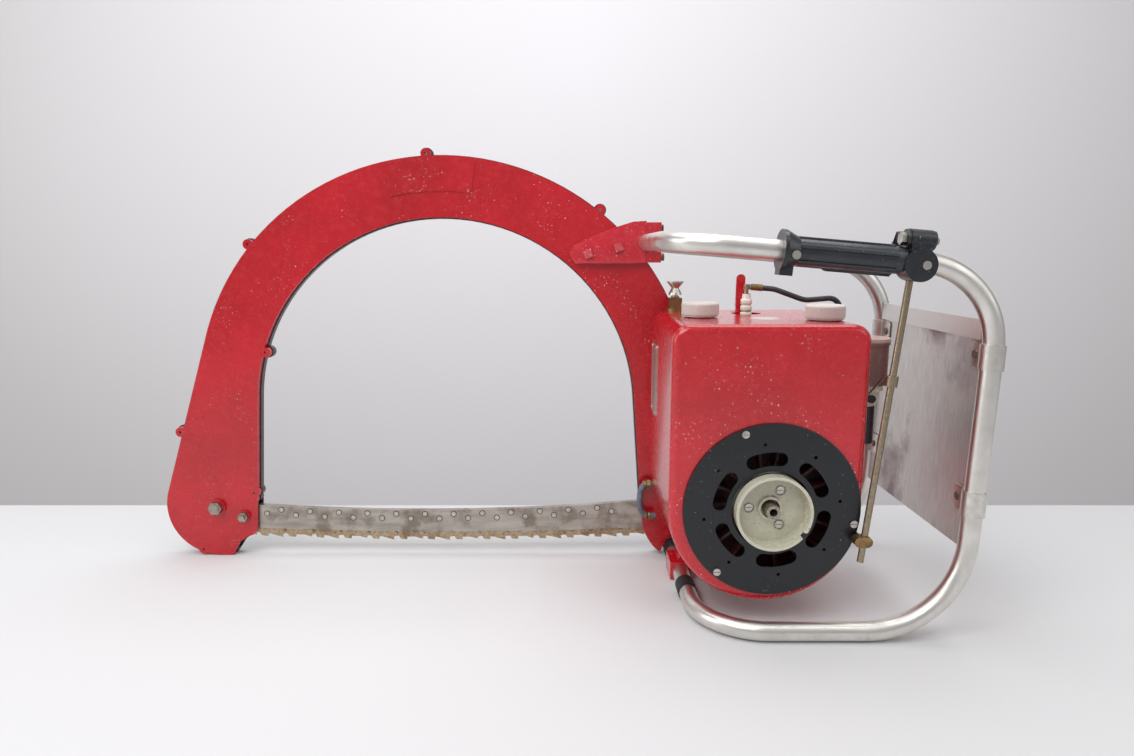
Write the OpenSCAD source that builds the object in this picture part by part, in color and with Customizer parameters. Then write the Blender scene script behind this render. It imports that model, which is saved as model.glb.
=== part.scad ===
// Bow chainsaw: a petrol engine in a tube sled drives a saw chain round a bow.
// +X points from the nose to the operator's end, +Y away from the front cover, +Z up.
// The origin is under the middle of the saw, on the surface that it rests on.

/* [Bow casing] */
// Height of the bow arch's centre
arch_z = 218; // [200:1:240]
// Distance of the arch's centre left of the housing's middle
arch_reach = 402; // [396:1:406]
// Outer radius of the arch
arch_outer_r = 350; // [340:1:360]
// Width of the arch, from its outer to its inner edge
arch_w = 82; // [74:1:88]
// Distance of the nose wheel's axis left of the housing's middle
nose_reach = 738; // [720:1:750]
// Height of the nose wheel's axis
nose_z = 74; // [74:1:80]
// Outer radius of the nose
nose_r = 73.5; // [70:0.5:74]
// Outer radius of the tail over the sprocket
tail_r = 74; // [72:0.5:78]
// Thickness of the whole casing
casing_t = 20; // [19:0.5:24]
// Wall of the two casing halves
casing_wall = 3; // [2:0.25:3.5]
// Width of the casing's rim
rim_w = 4; // [3:0.5:5]
// How far the black rear half shows past the red cover
rear_lip = 1.5; // [0.5:0.25:2]

/* [Chain and bar] */
// Rivet spacing of the chain, along its path
chain_pitch = 20.5; // [20:0.1:21]
// Radius of the chain's rivet line over the nose wheel
idler_pitch_r = 36; // [34:1:40]
// Number of teeth on the drive sprocket
sprocket_teeth = 8; // [8:1:8]
// Thickness of the middle plates of the chain
drive_link_t = 2.6; // [2.2:0.1:2.8]
// Thickness of the side plates of the chain
side_link_t = 2.2; // [1.8:0.1:2.4]
// Height of the chain's plates
link_h = 8; // [7:0.5:9]
// How far the saw teeth stand out from the rivet line
tooth_h = 9; // [8:0.5:10]
// How far the drive tangs reach in from the rivet line
tang_h = 9.5; // [9:0.5:10]
// Radius of the chain's rivets
chain_rivet_r = 1.8; // [1.5:0.1:2]
// Radius of the bar's slightly bowed cutting edge
bar_edge_r = 6300; // [5500:100:7500]
// Height of the bar at its middle, from its top edge to the rivet line
bar_h = 37; // [34:1:40]
// Radius of the bar's hollow top edge
bar_top_r = 3440; // [3200:20:4000]
// Thickness of the bar's two outer plates
bar_plate_t = 2.6; // [2.2:0.1:2.8]
// Spacing of the bar's rivets along one row
bar_rivet_gap = 42; // [38:1:46]

/* [Engine] */
// Height of the middle of the housing's round bottom
mid_z = 144; // [143:1:148]
// Width of the engine housing
housing_w = 224; // [218:1:230]
// Height of the housing's top above the surface
housing_top = 360; // [352:1:366]
// Depth of the housing, front to back
housing_d = 218; // [210:1:226]
// Wall of the engine housing
housing_wall = 5; // [4:0.5:6]
// Corner radius of the housing's top, seen from the front
housing_corner_r = 20; // [16:1:24]
// Rounding of the housing's front edge
housing_edge_r = 9; // [6:1:10]
// Radius of the black fan cover
fan_cover_r = 102.5; // [100:0.5:104]
// Radius of the flywheel
flywheel_r = 88; // [84:1:90]
// Outer radius of the starter cup
starter_r = 44; // [42:1:46]
// Module of the reduction gears
gear_module = 2.2; // [2.15:0.05:2.2]
// Number of teeth on the crank's pinion
pinion_teeth = 24; // [24:1:24]
// Number of teeth on the gear that the pinion drives
gear_teeth = 36; // [36:1:36]
// Angle of the sprocket's axis below the crank axis
gear_dip = 25.3; // [25:0.1:26]
// Radius of the filler caps
cap_r = 23; // [21:0.5:24]

/* [Tube frame] */
// Outer radius of the frame's tube
tube_r = 11.1; // [10.5:0.1:11.4]
// Wall of the frame's tube
tube_wall = 1.8; // [1.5:0.1:2.5]
// Distance of the near tube in front of the bow's middle plane
near_reach = 258; // [252:1:264]
// Distance of the far tube behind the bow's middle plane
far_reach = 34; // [33:1:40]
// Distance of the operator's end from the housing's middle
frame_reach = 231; // [227:1:236]
// Height of the top run at the bow's clamp
top_run_z = 452; // [448:1:456]
// Drop of the top run towards the operator
top_run_drop = 30; // [26:1:34]
// Bend radius of the top corners at the operator's end
top_bend_r = 90; // [84:1:94]
// Bend radius of the bottom corners at the operator's end
bottom_bend_r = 110; // [104:1:114]
// Bend radius of the sled's front corners
sled_bend_r = 78; // [70:1:82]
// Length of the grip on the near tube
grip_l = 150; // [140:1:155]
// Thickness of the heat shield's sheet
shield_t = 2; // [1.5:0.25:2.5]
// Radius of the throttle rod
throttle_rod_r = 3.8; // [3.5:0.1:4]
// How far the throttle trigger turns, in degrees
trigger_turn = 15; // [12:1:16]

/* [Hidden] */
$fn = 96;
eps = 0.01;
fit = 0.05;
gap = 0.3;

// Place of the saw's main planes and axes
mid_x = 286.04;
bow_y = 116.55;
arch_c = [mid_x - arch_reach, arch_z];
nose_c = [mid_x - nose_reach, nose_z];
gear_span = gear_module * (pinion_teeth + gear_teeth) / 2;
mid_c = [mid_x, mid_z];
crank_c = mid_c + [6, 2];
sprocket_c = crank_c - gear_span * [cos(gear_dip), sin(gear_dip)];
arch_inner_r = arch_outer_r - arch_w;
casing_near = bow_y - casing_t / 2;
casing_far = bow_y + casing_t / 2;
housing_back = casing_near;
housing_front = housing_back - housing_d;
housing_left = mid_x - housing_w / 2;
housing_right = mid_x + housing_w / 2;
near_y = bow_y - near_reach;
far_y = bow_y + far_reach;
frame_x = mid_x + frame_reach;

// Colours, as the photo shows them
red = [0.72, 0.09, 0.13];
black = [0.11, 0.13, 0.15];
dark = [0.2, 0.2, 0.21];
steel = [0.62, 0.6, 0.57];
old_steel = [0.52, 0.47, 0.43];
brass = [0.62, 0.5, 0.33];
alloy = [0.75, 0.74, 0.71];
cream = [0.84, 0.84, 0.75];

// Shared shapes

// A profile drawn in X and Z, given thickness between two values of Y
module slab(y0, y1)
    translate([0, y1, 0]) rotate([90, 0, 0]) linear_extrude(y1 - y0) children();

// A round bar along Y
module round_y(c, r, y0, y1)
    slab(y0, y1) translate(c) circle(r);

// A six-sided bar along Y, with its flats f apart
module hex_y(c, f, y0, y1)
    slab(y0, y1) translate(c) circle(f / sqrt(3), $fn = 6);

// A ring along Y
module ring_y(c, r, hole_r, y0, y1)
    slab(y0, y1) translate(c) difference() {
        circle(r);
        circle(hole_r);
    }

// A round bar between two points
module bar_between(a, b, r) {
    d = b - a;
    l = norm(d);
    translate(a) rotate([0, acos(d.z / l), atan2(d.y, d.x)]) cylinder(h = l, r = r);
}

// A screw head along Y with its slot, standing out towards -Y from y
module slotted_head(c, r, h, y)
    difference() {
        round_y(c, r, y - h, y);
        translate([c.x - r, y - h - eps, c.y - 0.5]) cube([2 * r, h * 0.45, 1]);
    }

// Vector helpers for bent tubes
function unit(v) = v / norm(v);
function turn_at(p, i) = acos(unit(p[i] - p[i - 1]) * unit(p[i + 1] - p[i]));
function bend_cut(p, rs, i) = i == 0 || i == len(p) - 1 ? 0 : rs[i] * tan(turn_at(p, i) / 2);

// One straight stretch of a tube, a ring in section
module tube_run(a, b, r, hole_r) {
    d = b - a;
    l = norm(d);
    translate(a) rotate([0, acos(d.z / l), atan2(d.y, d.x)]) linear_extrude(l) tube_section(r, hole_r);
}

module tube_section(r, hole_r)
    difference() {
        circle(r, $fn = 48);
        if (hole_r > 0) circle(hole_r, $fn = 48);
    }

// One bend of a tube at corner i of the points p
module tube_bend(p, rs, i, r, hole_r) {
    d1 = unit(p[i] - p[i - 1]);
    d2 = unit(p[i + 1] - p[i]);
    inward = unit(d2 - d1 * (d1 * d2));
    centre = p[i] - d1 * bend_cut(p, rs, i) + inward * rs[i];
    ex = -inward;
    ez = cross(ex, d1);
    multmatrix([[ex.x, d1.x, ez.x, centre.x], [ex.y, d1.y, ez.y, centre.y], [ex.z, d1.z, ez.z, centre.z]])
        rotate_extrude(angle = turn_at(p, i)) translate([rs[i], 0]) tube_section(r, hole_r);
}

// A tube through the points p, bent at each inner point with the radii rs
module bent_tube(p, rs, r, hole_r = 0) {
    for (i = [0:len(p) - 2]) {
        d = unit(p[i + 1] - p[i]);
        tube_run(p[i] + d * bend_cut(p, rs, i), p[i + 1] - d * bend_cut(p, rs, i + 1), r, hole_r);
    }
    for (i = [1:len(p) - 2]) {
        d1 = unit(p[i] - p[i - 1]);
        d2 = unit(p[i + 1] - p[i]);
        tube_bend(p, rs, i, r, hole_r);
        weld(p[i] - d1 * bend_cut(p, rs, i), d1, r, hole_r);
        weld(p[i] + d2 * bend_cut(p, rs, i), d2, r, hole_r);
    }
}

// A thin ring over the joint of a straight stretch and a bend
module weld(a, d, r, hole_r)
    tube_run(a - 0.4 * d, a + 0.4 * d, r + 0.03, hole_r > 0 ? hole_r - 0.03 : 0);

// The chain's path: circles joined by tangents, followed with the inside on the left.
// bar_c is the centre of the bar's cutting edge and heel_c of its rounded heel.
heel_r = 60;
bar_mid_x = (nose_c.x + sprocket_c.x) / 2 - 12;
bar_c = [bar_mid_x, nose_c.y + sqrt(pow(bar_edge_r - idler_pitch_r, 2) - pow(nose_c.x - bar_mid_x, 2))];
heel_x = mid_x - housing_w / 2 - 4;
heel_lean = asin((heel_x - bar_mid_x) / (bar_edge_r - heel_r));
heel_c = bar_c + (bar_edge_r - heel_r) * [sin(heel_lean), -cos(heel_lean)];
sprocket_pitch_r = chain_pitch / sin(180 / (2 * sprocket_teeth)) / 2;
chain_arch_r = arch_outer_r - 38;

function dir(a) = [cos(a), sin(a)];
function angle_of(v) = atan2(v.y, v.x);
// Angle of the outward normal of the tangent from one circle to the next
function tangent_angle(c1, r1, c2, r2) = angle_of(c2 - c1) - acos((r1 - r2) / norm(c2 - c1));

edge_start = angle_of(nose_c - bar_c);
edge_end = angle_of(heel_c - bar_c);
heel_end = tangent_angle(heel_c, heel_r, sprocket_c, sprocket_pitch_r);
sprocket_end = tangent_angle(sprocket_c, sprocket_pitch_r, arch_c, chain_arch_r);
arch_end = tangent_angle(arch_c, chain_arch_r, nose_c, idler_pitch_r) + 360;

function arc_part(c, r, a0, a1) = [c, r, a0, a1];
function line_part(c1, r1, c2, r2, a) = [c1 + r1 * dir(a), c2 + r2 * dir(a)];
chain_path = [
    arc_part(bar_c, bar_edge_r, edge_start, edge_end),
    arc_part(heel_c, heel_r, edge_end, heel_end),
    line_part(heel_c, heel_r, sprocket_c, sprocket_pitch_r, heel_end),
    arc_part(sprocket_c, sprocket_pitch_r, heel_end, sprocket_end),
    line_part(sprocket_c, sprocket_pitch_r, arch_c, chain_arch_r, sprocket_end),
    arc_part(arch_c, chain_arch_r, sprocket_end, arch_end),
    line_part(arch_c, chain_arch_r, nose_c, idler_pitch_r, arch_end),
    arc_part(nose_c, idler_pitch_r, arch_end, edge_start + 360)
];

function part_length(g) = len(g) == 4 ? g[1] * (g[3] - g[2]) * PI / 180 : norm(g[1] - g[0]);
function part_point(g, s) = len(g) == 4
    ? g[0] + g[1] * dir(g[2] + s / g[1] * 180 / PI)
    : g[0] + s * unit(g[1] - g[0]);
function path_length(k = 0) = k == len(chain_path) ? 0 : part_length(chain_path[k]) + path_length(k + 1);
function path_point(s, k = 0) = k == len(chain_path) - 1 || s <= part_length(chain_path[k])
    ? part_point(chain_path[k], s)
    : path_point(s - part_length(chain_path[k]), k + 1);

link_pairs = round(path_length() / chain_pitch / 2);
link_step = path_length() / (2 * link_pairs);
// Starts the chain so that a sprocket tooth stands between two tangs
chain_start = link_step * 0.5;
function rivet_at(i) = path_point((i * link_step + chain_start) % path_length());

// Bow casing
limb_out = tangent_angle(arch_c, arch_outer_r, nose_c, nose_r) + 360;
tail_out = tangent_angle(sprocket_c, tail_r, arch_c, arch_outer_r);
window_lean = 4;
nose_lean = 3.8;
rib_w = 5;
half_link = link_h / 2;
guide_h = 60;
tip = [heel_x + 22, 4];
guard_r = 71.6;
guard_c = [sprocket_c.x + 4.5, guide_h];
lug_r = 7;
screw_r = 2.2;
stud_r = 4;
axle_r = 6;

// Lugs for the screws that hold the two casing halves together
lug_places = concat(
    [for (a = [52, 93, 139]) arch_c + (arch_outer_r + 3) * dir(a)],
    [nose_c + (nose_r + 3) * dir(limb_out) + 92 * dir(limb_out - 90)],
    [arch_c + (arch_inner_r - 3) * dir(162), [arch_c.x - arch_inner_r - 13, nose_c.y + 21]],
    [nose_c + [-25, 8.7 - nose_c.y]]
);

// Outline of the casing in X and Z, grown by g all round. Its tangents stand a hair inside their
// circles, so that each crosses its circle cleanly.
inset = 0.04;

module bow_profile(g)
    difference() {
        union() {
            intersection() {
                translate(arch_c) circle(arch_outer_r + g, $fn = 240);
                translate([arch_c.x - 2 * arch_outer_r, nose_c.y]) square([4 * arch_outer_r, 2 * arch_outer_r]);
            }
            translate(nose_c) circle(nose_r + g);
            nose_foot(g);
            polygon([
                arch_c + (arch_outer_r + g - inset) * dir(limb_out),
                nose_c + (nose_r + g - inset) * dir(limb_out), nose_c,
                arch_c
            ]);
            translate(sprocket_c) circle(tail_r + g);
            polygon([
                arch_c + (arch_outer_r + g - inset) * dir(tail_out),
                sprocket_c + (tail_r + g - inset) * dir(tail_out),
                sprocket_c, arch_c
            ]);
            tail_guard(g);
        }
        bow_window(g);
        translate([nose_c.x - 200, -100 - min(g, 0)]) square([400, 100]);
        // The open corner of the nose, where the chain runs in
        polygon([
            nose_c + [foot_w[1] + g, -nose_c.y - 50], nose_c + [foot_w[1] + g, 1.5 - nose_c.y],
            nose_c + [29 + g, -54 - g], nose_c + [40 + g, -46 - g], nose_c + [49 + g, -43 - g],
            nose_c + [56 + g, -34 - g], nose_c + [90, -34 - g], nose_c + [90, -nose_c.y - 50]
        ]);
    }

// The flat foot that the nose rests on
foot_w = [6, 18];

module nose_foot(g)
    polygon([
        nose_c + (nose_r - 1) * dir(252), nose_c + [foot_w[0] - 12 + min(g, 0), 7 - nose_c.y],
        nose_c + [foot_w[0] + min(g, 0), -nose_c.y - min(0, g)],
        nose_c + [foot_w[1] - min(g, 0), -nose_c.y - min(0, g)],
        nose_c + [56, -34], nose_c
    ]);

// Everything inside the bow's opening, less g all round
module bow_window(g) {
    r = arch_inner_r - g;
    side = r - inset;
    foot = arch_c + side * dir(window_lean);
    heel = arch_c + side * dir(180 - nose_lean);
    translate(arch_c) circle(r, $fn = 240);
    polygon([
        heel, arch_c, foot, foot + [tan(window_lean), -1] * (foot.y + 60),
        heel + [-tan(nose_lean), -1] * (heel.y + 60)
    ]);
}

// The pointed guard under the tail
module tail_guard(g)
    intersection() {
        translate(guard_c) circle(guard_r + g);
        polygon([
            tip + [min(g, 0), -min(g, 0)], tip + [10, 20.5] + min(g, 0) * [1, -1], tip + [86, 44 - g],
            sprocket_c,
            sprocket_c - [140, 0], [tip.x - 140, tip.y - 60], [tip.x, tip.y - 60]
        ]);
    }

// The chain's channel inside the casing
module channel_profile() {
    difference() {
        bow_profile(-rim_w);
        for (c = lug_places) translate(c) circle(lug_r);
        for (c = bolt_places) translate(c) circle(bolt_r + 2.2);
        for (c = tail_bolt_places) translate(c) circle(screw_r + 2.3);
    }
    // Mouths for the bar and the chain
    translate([nose_c.x + 22, 8]) square([arch_c.x - arch_inner_r - nose_c.x, nose_c.y]);
    translate([tip.x - 40, 12]) square([44, nose_c.y]);
}

// Bosses that the casing's own bolts pass through
bolt_r = 3;
bolt_places = [arch_c + (arch_outer_r - 53) * dir(47.5), arch_c + (arch_outer_r - 17.5) * dir(43.3)];
tail_bolt_places = [for (a = [120, -10, -60]) sprocket_c + (tail_r - 7.5) * dir(a)];

// The strip that the chain's side plates slide on, on its way back over the bow
module return_rail_profile() {
    out = half_link + gap;
    difference() {
        translate(arch_c) circle(chain_arch_r - out, $fn = 240);
        translate(arch_c) circle(chain_arch_r - out - rib_w, $fn = 240);
        difference() {
            translate(arch_c) square(4 * arch_outer_r, center = true);
            polygon([
                arch_c, arch_c + 900 * dir(sprocket_end), arch_c + 900 * dir(60), arch_c + 900 * dir(90),
                arch_c + 900 * dir(130), arch_c + 900 * dir(arch_end)
            ]);
        }
    }
    rail_straight(arch_c, chain_arch_r, nose_c, idler_pitch_r, arch_end, 26, out);
    rail_straight(arch_c, chain_arch_r, sprocket_c, sprocket_pitch_r, sprocket_end, 44, out);
}

// A straight stretch of the strip, started a hair inside the curved one that it joins
module rail_straight(c1, r1, c2, r2, a, stop, out) {
    p = c1 + (r1 - out) * dir(a);
    q = c2 + (r2 - out) * dir(a);
    start = p + 0.3 * unit(p - q) - 0.03 * dir(a);
    end = q + stop * unit(p - q) - 0.03 * dir(a);
    w = rib_w - 0.06;
    polygon([start, end, end - w * dir(a), start - w * dir(a)]);
}

module bow_half(g, y0, y1, pocket0, pocket1, rail0, rail1)
    difference() {
        union() {
            difference() {
                slab(y0, y1) {
                    bow_profile(g);
                    for (c = lug_places) translate(c) circle(lug_r + g);
                }
                slab(pocket0, pocket1) channel_profile();
            }
            slab(rail0, rail1) return_rail_profile();
        }
        for (c = lug_places) round_y(c, screw_r, y0 - eps, y1 + eps);
        for (c = tail_bolt_places) round_y(c, screw_r, y0 - eps, y1 + eps);
        round_y(nose_c, axle_r + fit, y0 - eps, y1 + eps);
        for (c = stud_places)
            round_y(c, stud_r + fit, max(y0 - eps, c.x > 0 ? casing_near + 1.5 : 0), y1 + eps);
        for (c = bolt_places) round_y(c, bolt_r + fit, y0 - eps, y1 + eps);
    }

// Spacers between a casing wall and the bar or the nose wheel
module spacers(y0, y1) {
    for (c = stud_places) ring_y(c, 8, stud_r + fit, y0, y1);
    ring_y(nose_c, 9, axle_r + fit, y0, y1);
}

stud_places = [[nose_c.x + 38, 60], [heel_x + 12, 60]];

module bow_cover()
    color(red) {
        difference() {
            union() {
                bow_half(0, casing_near, bow_y, casing_near + casing_wall, bow_y + eps,
                    casing_near + casing_wall - eps, bow_y - drive_link_t / 2 - 0.4);
                // A bare raised panel and the bosses of the axle and the stud
                slab(casing_near - 1.2, casing_near) intersection() {
                    difference() {
                        translate(arch_c) circle(arch_outer_r - 7, $fn = 240);
                        translate(arch_c) circle(arch_outer_r - 47, $fn = 240);
                    }
                    polygon([arch_c, arch_c + 400 * dir(82), arch_c + 400 * dir(103)]);
                }
                ring_y(nose_c, 12, axle_r + fit, casing_near - 3, casing_near);
                ring_y(stud_places[0], 9, stud_r + fit, casing_near - 2, casing_near);
                spacers(casing_near + casing_wall - eps, bow_y - core_t / 2 - bar_plate_t);
            }
            round_y(sprocket_c, shaft_r + fit, casing_near - 5, casing_near + 5);
        }
    }

module bow_rear_plate()
    color(black)
        union() {
            bow_half(rear_lip, bow_y, casing_far, bow_y - eps, casing_far - casing_wall,
                bow_y + drive_link_t / 2 + 0.4, casing_far - casing_wall + eps);
            ring_y(nose_c, 12, axle_r, casing_far - eps, casing_far + 6);
            spacers(bow_y + core_t / 2 + bar_plate_t, casing_far - casing_wall + eps);
        }

module bow_cover_screws()
    color(steel)
        for (c = lug_places) {
            round_y(c, 4, casing_far, casing_far + 2.4);
            round_y(c, screw_r - fit, casing_near + 3, casing_far + 1);
        }

// Nose wheel, a grooved roller that the chain turns round
wheel_r = sqrt(pow(idler_pitch_r, 2) - pow(chain_pitch / 2, 2)) - half_link - gap;
wheel_w = drive_link_t + 2 * side_link_t + 0.4;
bush_r = 11;

module nose_wheel()
    color(steel)
        translate([nose_c.x, bow_y, nose_c.y]) rotate([90, 0, 0]) rotate_extrude()
            polygon([
                [axle_r + fit, -wheel_w / 2], [wheel_r, -wheel_w / 2], [wheel_r, -drive_link_t / 2 - 0.4],
                [wheel_r - tang_h, -drive_link_t / 2 - 0.4], [wheel_r - tang_h, drive_link_t / 2 + 0.4],
                [wheel_r, drive_link_t / 2 + 0.4], [wheel_r, wheel_w / 2], [axle_r + fit, wheel_w / 2]
            ]);

module nose_axle_bolt()
    color(steel) {
        hex_y(nose_c, 17, casing_near - 11, casing_near - 3);
        round_y(nose_c, 6.5, casing_near - 12.5, casing_near - 11);
        round_y(nose_c, axle_r, casing_near - 3, casing_far + 5);
    }

module stud_nuts()
    color(steel)
        {
            nut(stud_places[0], 13, stud_r, casing_near - 8.5, 6.5);
            for (c = stud_places) nut(c, 13, stud_r, casing_far, 6.5);
        }

module nut(c, f, r, y, h)
    difference() {
        hex_y(c, f, y, y + h);
        round_y(c, r + fit, y - 1, y + h + 1);
    }

// Guide bar: a middle plate between two side plates, with a groove for the tangs below
bar_edge_off = half_link + gap;
bar_low_z = bar_c.y - bar_edge_r;
bar_left = nose_c.x + 35;
bar_right = heel_x + 26;
bar_top_c = [(bar_left + bar_right) / 2 - 43, bar_low_z + bar_h + bar_top_r];

module bar_profile(groove)
    difference() {
        union() {
            intersection() {
                translate(bar_c) circle(bar_edge_r - bar_edge_off - groove, $fn = 720);
                translate([bar_left, 0]) square([heel_c.x - bar_left, 200]);
            }
            intersection() {
                translate(heel_c) circle(heel_r - bar_edge_off - groove);
                translate([heel_c.x - 0.01, 0]) square([bar_right - heel_c.x, 200]);
            }
        }
        translate(bar_top_c) circle(bar_top_r, $fn = 720);
        for (c = stud_places) translate(c) circle(stud_r + fit);
        for (c = bar_rivet_places) translate(c) circle(bar_rivet_r + fit);
    }

bar_rivet_r = 2.5;
bar_rivet_count = floor((heel_x - nose_c.x - 80) / bar_rivet_gap);
function bar_top_at(x) = bar_top_c.y - sqrt(pow(bar_top_r, 2) - pow(x - bar_top_c.x, 2));
bar_rivet_places = [
    for (i = [0:2 * bar_rivet_count])
        let(x = bar_left + 34 + i * bar_rivet_gap / 2) [x, bar_top_at(x) - (i % 2 == 0 ? 12.5 : 5.5)]
];
core_t = drive_link_t + 0.6;

module bar_core_plate()
    color(old_steel) slab(bow_y - core_t / 2, bow_y + core_t / 2) bar_profile(tang_h - half_link + 1);

module bar_near_plate()
    color(old_steel) slab(bow_y - core_t / 2 - bar_plate_t, bow_y - core_t / 2) bar_profile(0);

module bar_far_plate()
    color(old_steel) slab(bow_y + core_t / 2, bow_y + core_t / 2 + bar_plate_t) bar_profile(0);

module bar_rivets()
    color(steel)
        for (c = bar_rivet_places) {
            round_y(c, bar_rivet_r, bow_y - core_t / 2 - bar_plate_t, bow_y + core_t / 2 + bar_plate_t);
            for (s = [-1, 1]) {
                y = bow_y + s * (core_t / 2 + bar_plate_t + 0.3);
                round_y(c, bar_rivet_r + 0.8, y - 0.3, y + 0.3);
            }
        }

module bar_studs()
    color(steel)
        for (c = stud_places) round_y(c, stud_r, casing_near + (c.x > 0 ? 2 : -12), casing_far + 9);

// Saw chain: drive links with rakers in the middle plane, pairs of cutters outside

// A plate from one rivet to the next, l apart, with points of its own on the outer and inner sides
module link_plate(a, b, outer, inner) {
    l = norm(b - a);
    translate(a) rotate(angle_of(b - a)) polygon(concat(
        [for (t = [90:30:270]) half_link * dir(t)],
        [for (q = outer) [q.x * l, -q.y]],
        [for (t = [-90:30:90]) [l, 0] + half_link * dir(t)],
        [for (q = inner) [q.x * l, q.y]]
    ));
}

tang_points = [
    [0.76, half_link], [0.66, tang_h - 1.5], [0.58, tang_h], [0.42, tang_h], [0.34, tang_h - 1.5],
    [0.24, half_link]
];
raker_points = [[0.3, half_link], [0.42, tooth_h - 0.8], [0.86, tooth_h], [0.9, half_link]];
cutter_points = [[0.12, half_link], [0.8, tooth_h - 1], [0.98, tooth_h - 0.4], [0.92, half_link]];

module chain_drive_links()
    color(old_steel)
        for (i = [0:link_pairs - 1]) {
            a = rivet_at(2 * i);
            b = rivet_at(2 * i + 1);
            slab(bow_y - drive_link_t / 2, bow_y + drive_link_t / 2) difference() {
                link_plate(a, b, raker_points, tang_points);
                for (p = [a, b]) translate(p) circle(chain_rivet_r + 0.1, $fn = 24);
            }
        }

module chain_cutter_links()
    color(old_steel)
        for (i = [0:link_pairs - 1]) {
            a = rivet_at(2 * i + 1);
            b = rivet_at(2 * i + 2);
            for (s = [-1, 1]) {
                y = bow_y + s * (drive_link_t / 2 + 0.1 + side_link_t / 2);
                slab(y - side_link_t / 2, y + side_link_t / 2)
                    link_plate(a, b, s == (i % 2 == 0 ? 1 : -1) ? cutter_points : [], []);
            }
            for (p = [a, b])
                slab(bow_y - drive_link_t / 2 - side_link_t - 0.6, bow_y + drive_link_t / 2 + side_link_t + 0.6)
                    translate(p) circle(chain_rivet_r, $fn = 24);
        }

// Drive: pinion on the crank, gear and sprocket on a shaft of their own
shaft_r = 8;
crank_r = 9;
gear_w = 12;
gear_y = housing_back - 24;
gear_pitch_r = gear_module * gear_teeth / 2;
case_y = gear_y - gear_w / 2 - 8;

// Involute of a base circle of radius b at roll angle t, in degrees
function involute(b, t) = b * [cos(t) + t * PI / 180 * sin(t), sin(t) - t * PI / 180 * cos(t)];
function roll_to(b, r) = r <= b ? 0 : sqrt(pow(r / b, 2) - 1) * 180 / PI;

// A spur gear's outline, with one tooth pointing along +X
module gear_profile(teeth, backlash = 0.12) {
    r = gear_module * teeth / 2;
    b = r * cos(20);
    tip_r = r + gear_module * 0.95;
    root_r = r - gear_module * 1.25;
    t_pitch = roll_to(b, r);
    at_pitch = angle_of(involute(b, t_pitch));
    half = 90 / teeth - backlash / r * 90 / PI + at_pitch;
    t_tip = roll_to(b, tip_r);
    steps = [0:1:4];
    flank = [for (k = steps) involute(b, t_tip * k / 4)];
    points = [
        for (n = [0:teeth - 1])
            let(a = n * 360 / teeth)
                for (p = concat(
                    [root_r * dir(a - half)],
                    [for (q = flank) norm(q) * dir(a - half + angle_of(q))],
                    [for (k = [4:-1:0]) norm(flank[k]) * dir(a + half - angle_of(flank[k]))],
                    [root_r * dir(a + half)]
                )) p
    ];
    polygon(points);
}

pinion_turn = 180 + gear_dip;

module pinion()
    color(steel)
        slab(gear_y - gear_w / 2, gear_y + gear_w / 2) translate(crank_c) difference() {
            rotate(pinion_turn) gear_profile(pinion_teeth);
            circle(crank_r + fit);
        }

module drive_gear()
    color(steel)
        slab(gear_y - gear_w / 2, gear_y + gear_w / 2) translate(sprocket_c) difference() {
            rotate(gear_dip + 180 / gear_teeth) gear_profile(gear_teeth);
            circle(shaft_r + fit);
            for (a = [0:60:300]) rotate(a) translate([gear_pitch_r * 0.58, 0]) circle(6);
        }

module sprocket_shaft()
    color(steel)
        round_y(sprocket_c, shaft_r, case_y + 4, casing_far - casing_wall - gap);

// The middle of the chain's wrap, at a side-plate pair, sets how the sprocket is turned
wrap_s = part_length(chain_path[0]) + part_length(chain_path[1]) + part_length(chain_path[2])
    + part_length(chain_path[3]) / 2;
wrap_i = 2 * round(((wrap_s - chain_start) / link_step - 1.5) / 2) + 1;
wrap_mid = (rivet_at(wrap_i) + rivet_at(wrap_i + 1)) / 2;
sprocket_t = drive_link_t - 0.2;

module sprocket()
    color(steel)
        slab(bow_y - sprocket_t / 2, bow_y + sprocket_t / 2) translate(sprocket_c) difference() {
            union() {
                circle(sprocket_pitch_r - tang_h - 1.5);
                for (k = [0:sprocket_teeth - 1])
                    rotate(angle_of(wrap_mid - sprocket_c) + k * 360 / sprocket_teeth) polygon([
                        [10, -11], [sprocket_pitch_r - tang_h - 2, -11], [sprocket_pitch_r - 6.5, -8],
                        [sprocket_pitch_r - 6.5, 8], [sprocket_pitch_r - tang_h - 2, 11], [10, 11]
                    ]);
            }
            circle(shaft_r + fit);
            for (a = [0:45:315]) rotate(a) translate([24, 0]) circle(5);
        }

module tail_bolts()
    color(steel)
        for (c = tail_bolt_places) {
            round_y(c, screw_r - fit, housing_back - housing_wall + 0.5, casing_far);
            slab(casing_far, casing_far + 4) translate(c) circle(4.4, $fn = 6);
        }

// Bracket that joins the bow to the frame's top crossbar
cross_x = mid_x - 122;
sled_x = mid_x - 76;
tube_hole = tube_r + fit;
bracket_t = 9;
clamp_near = casing_near - bracket_t;
clamp_far = bow_y + 10;
// The upper clamp bolt stands over the casing, the lower one beside it in the bracket's near plate
clamp_bolt_at = [[bow_y - 2, top_run_z + 19.5], [casing_near - bracket_t / 2, top_run_z - 19.5]];
clamp_bolt_r = 2.6;

module bracket_profile()
    translate([mid_x, 0]) polygon([
        [-224, 430], [-227, 439], [-222, 447], [-198, 459], [-172, 470], [-140, 480],
        [cross_x - mid_x, 481], [cross_x - mid_x, top_run_z - 27], [-136, 424], [-160, 432],
        [-184, 428], [-208, 424], [-218, 424]
    ]);

module crossbar_hole()
    translate([cross_x, casing_near - 20, top_run_z]) rotate([-90, 0, 0]) cylinder(h = 80, r = tube_hole);

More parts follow.
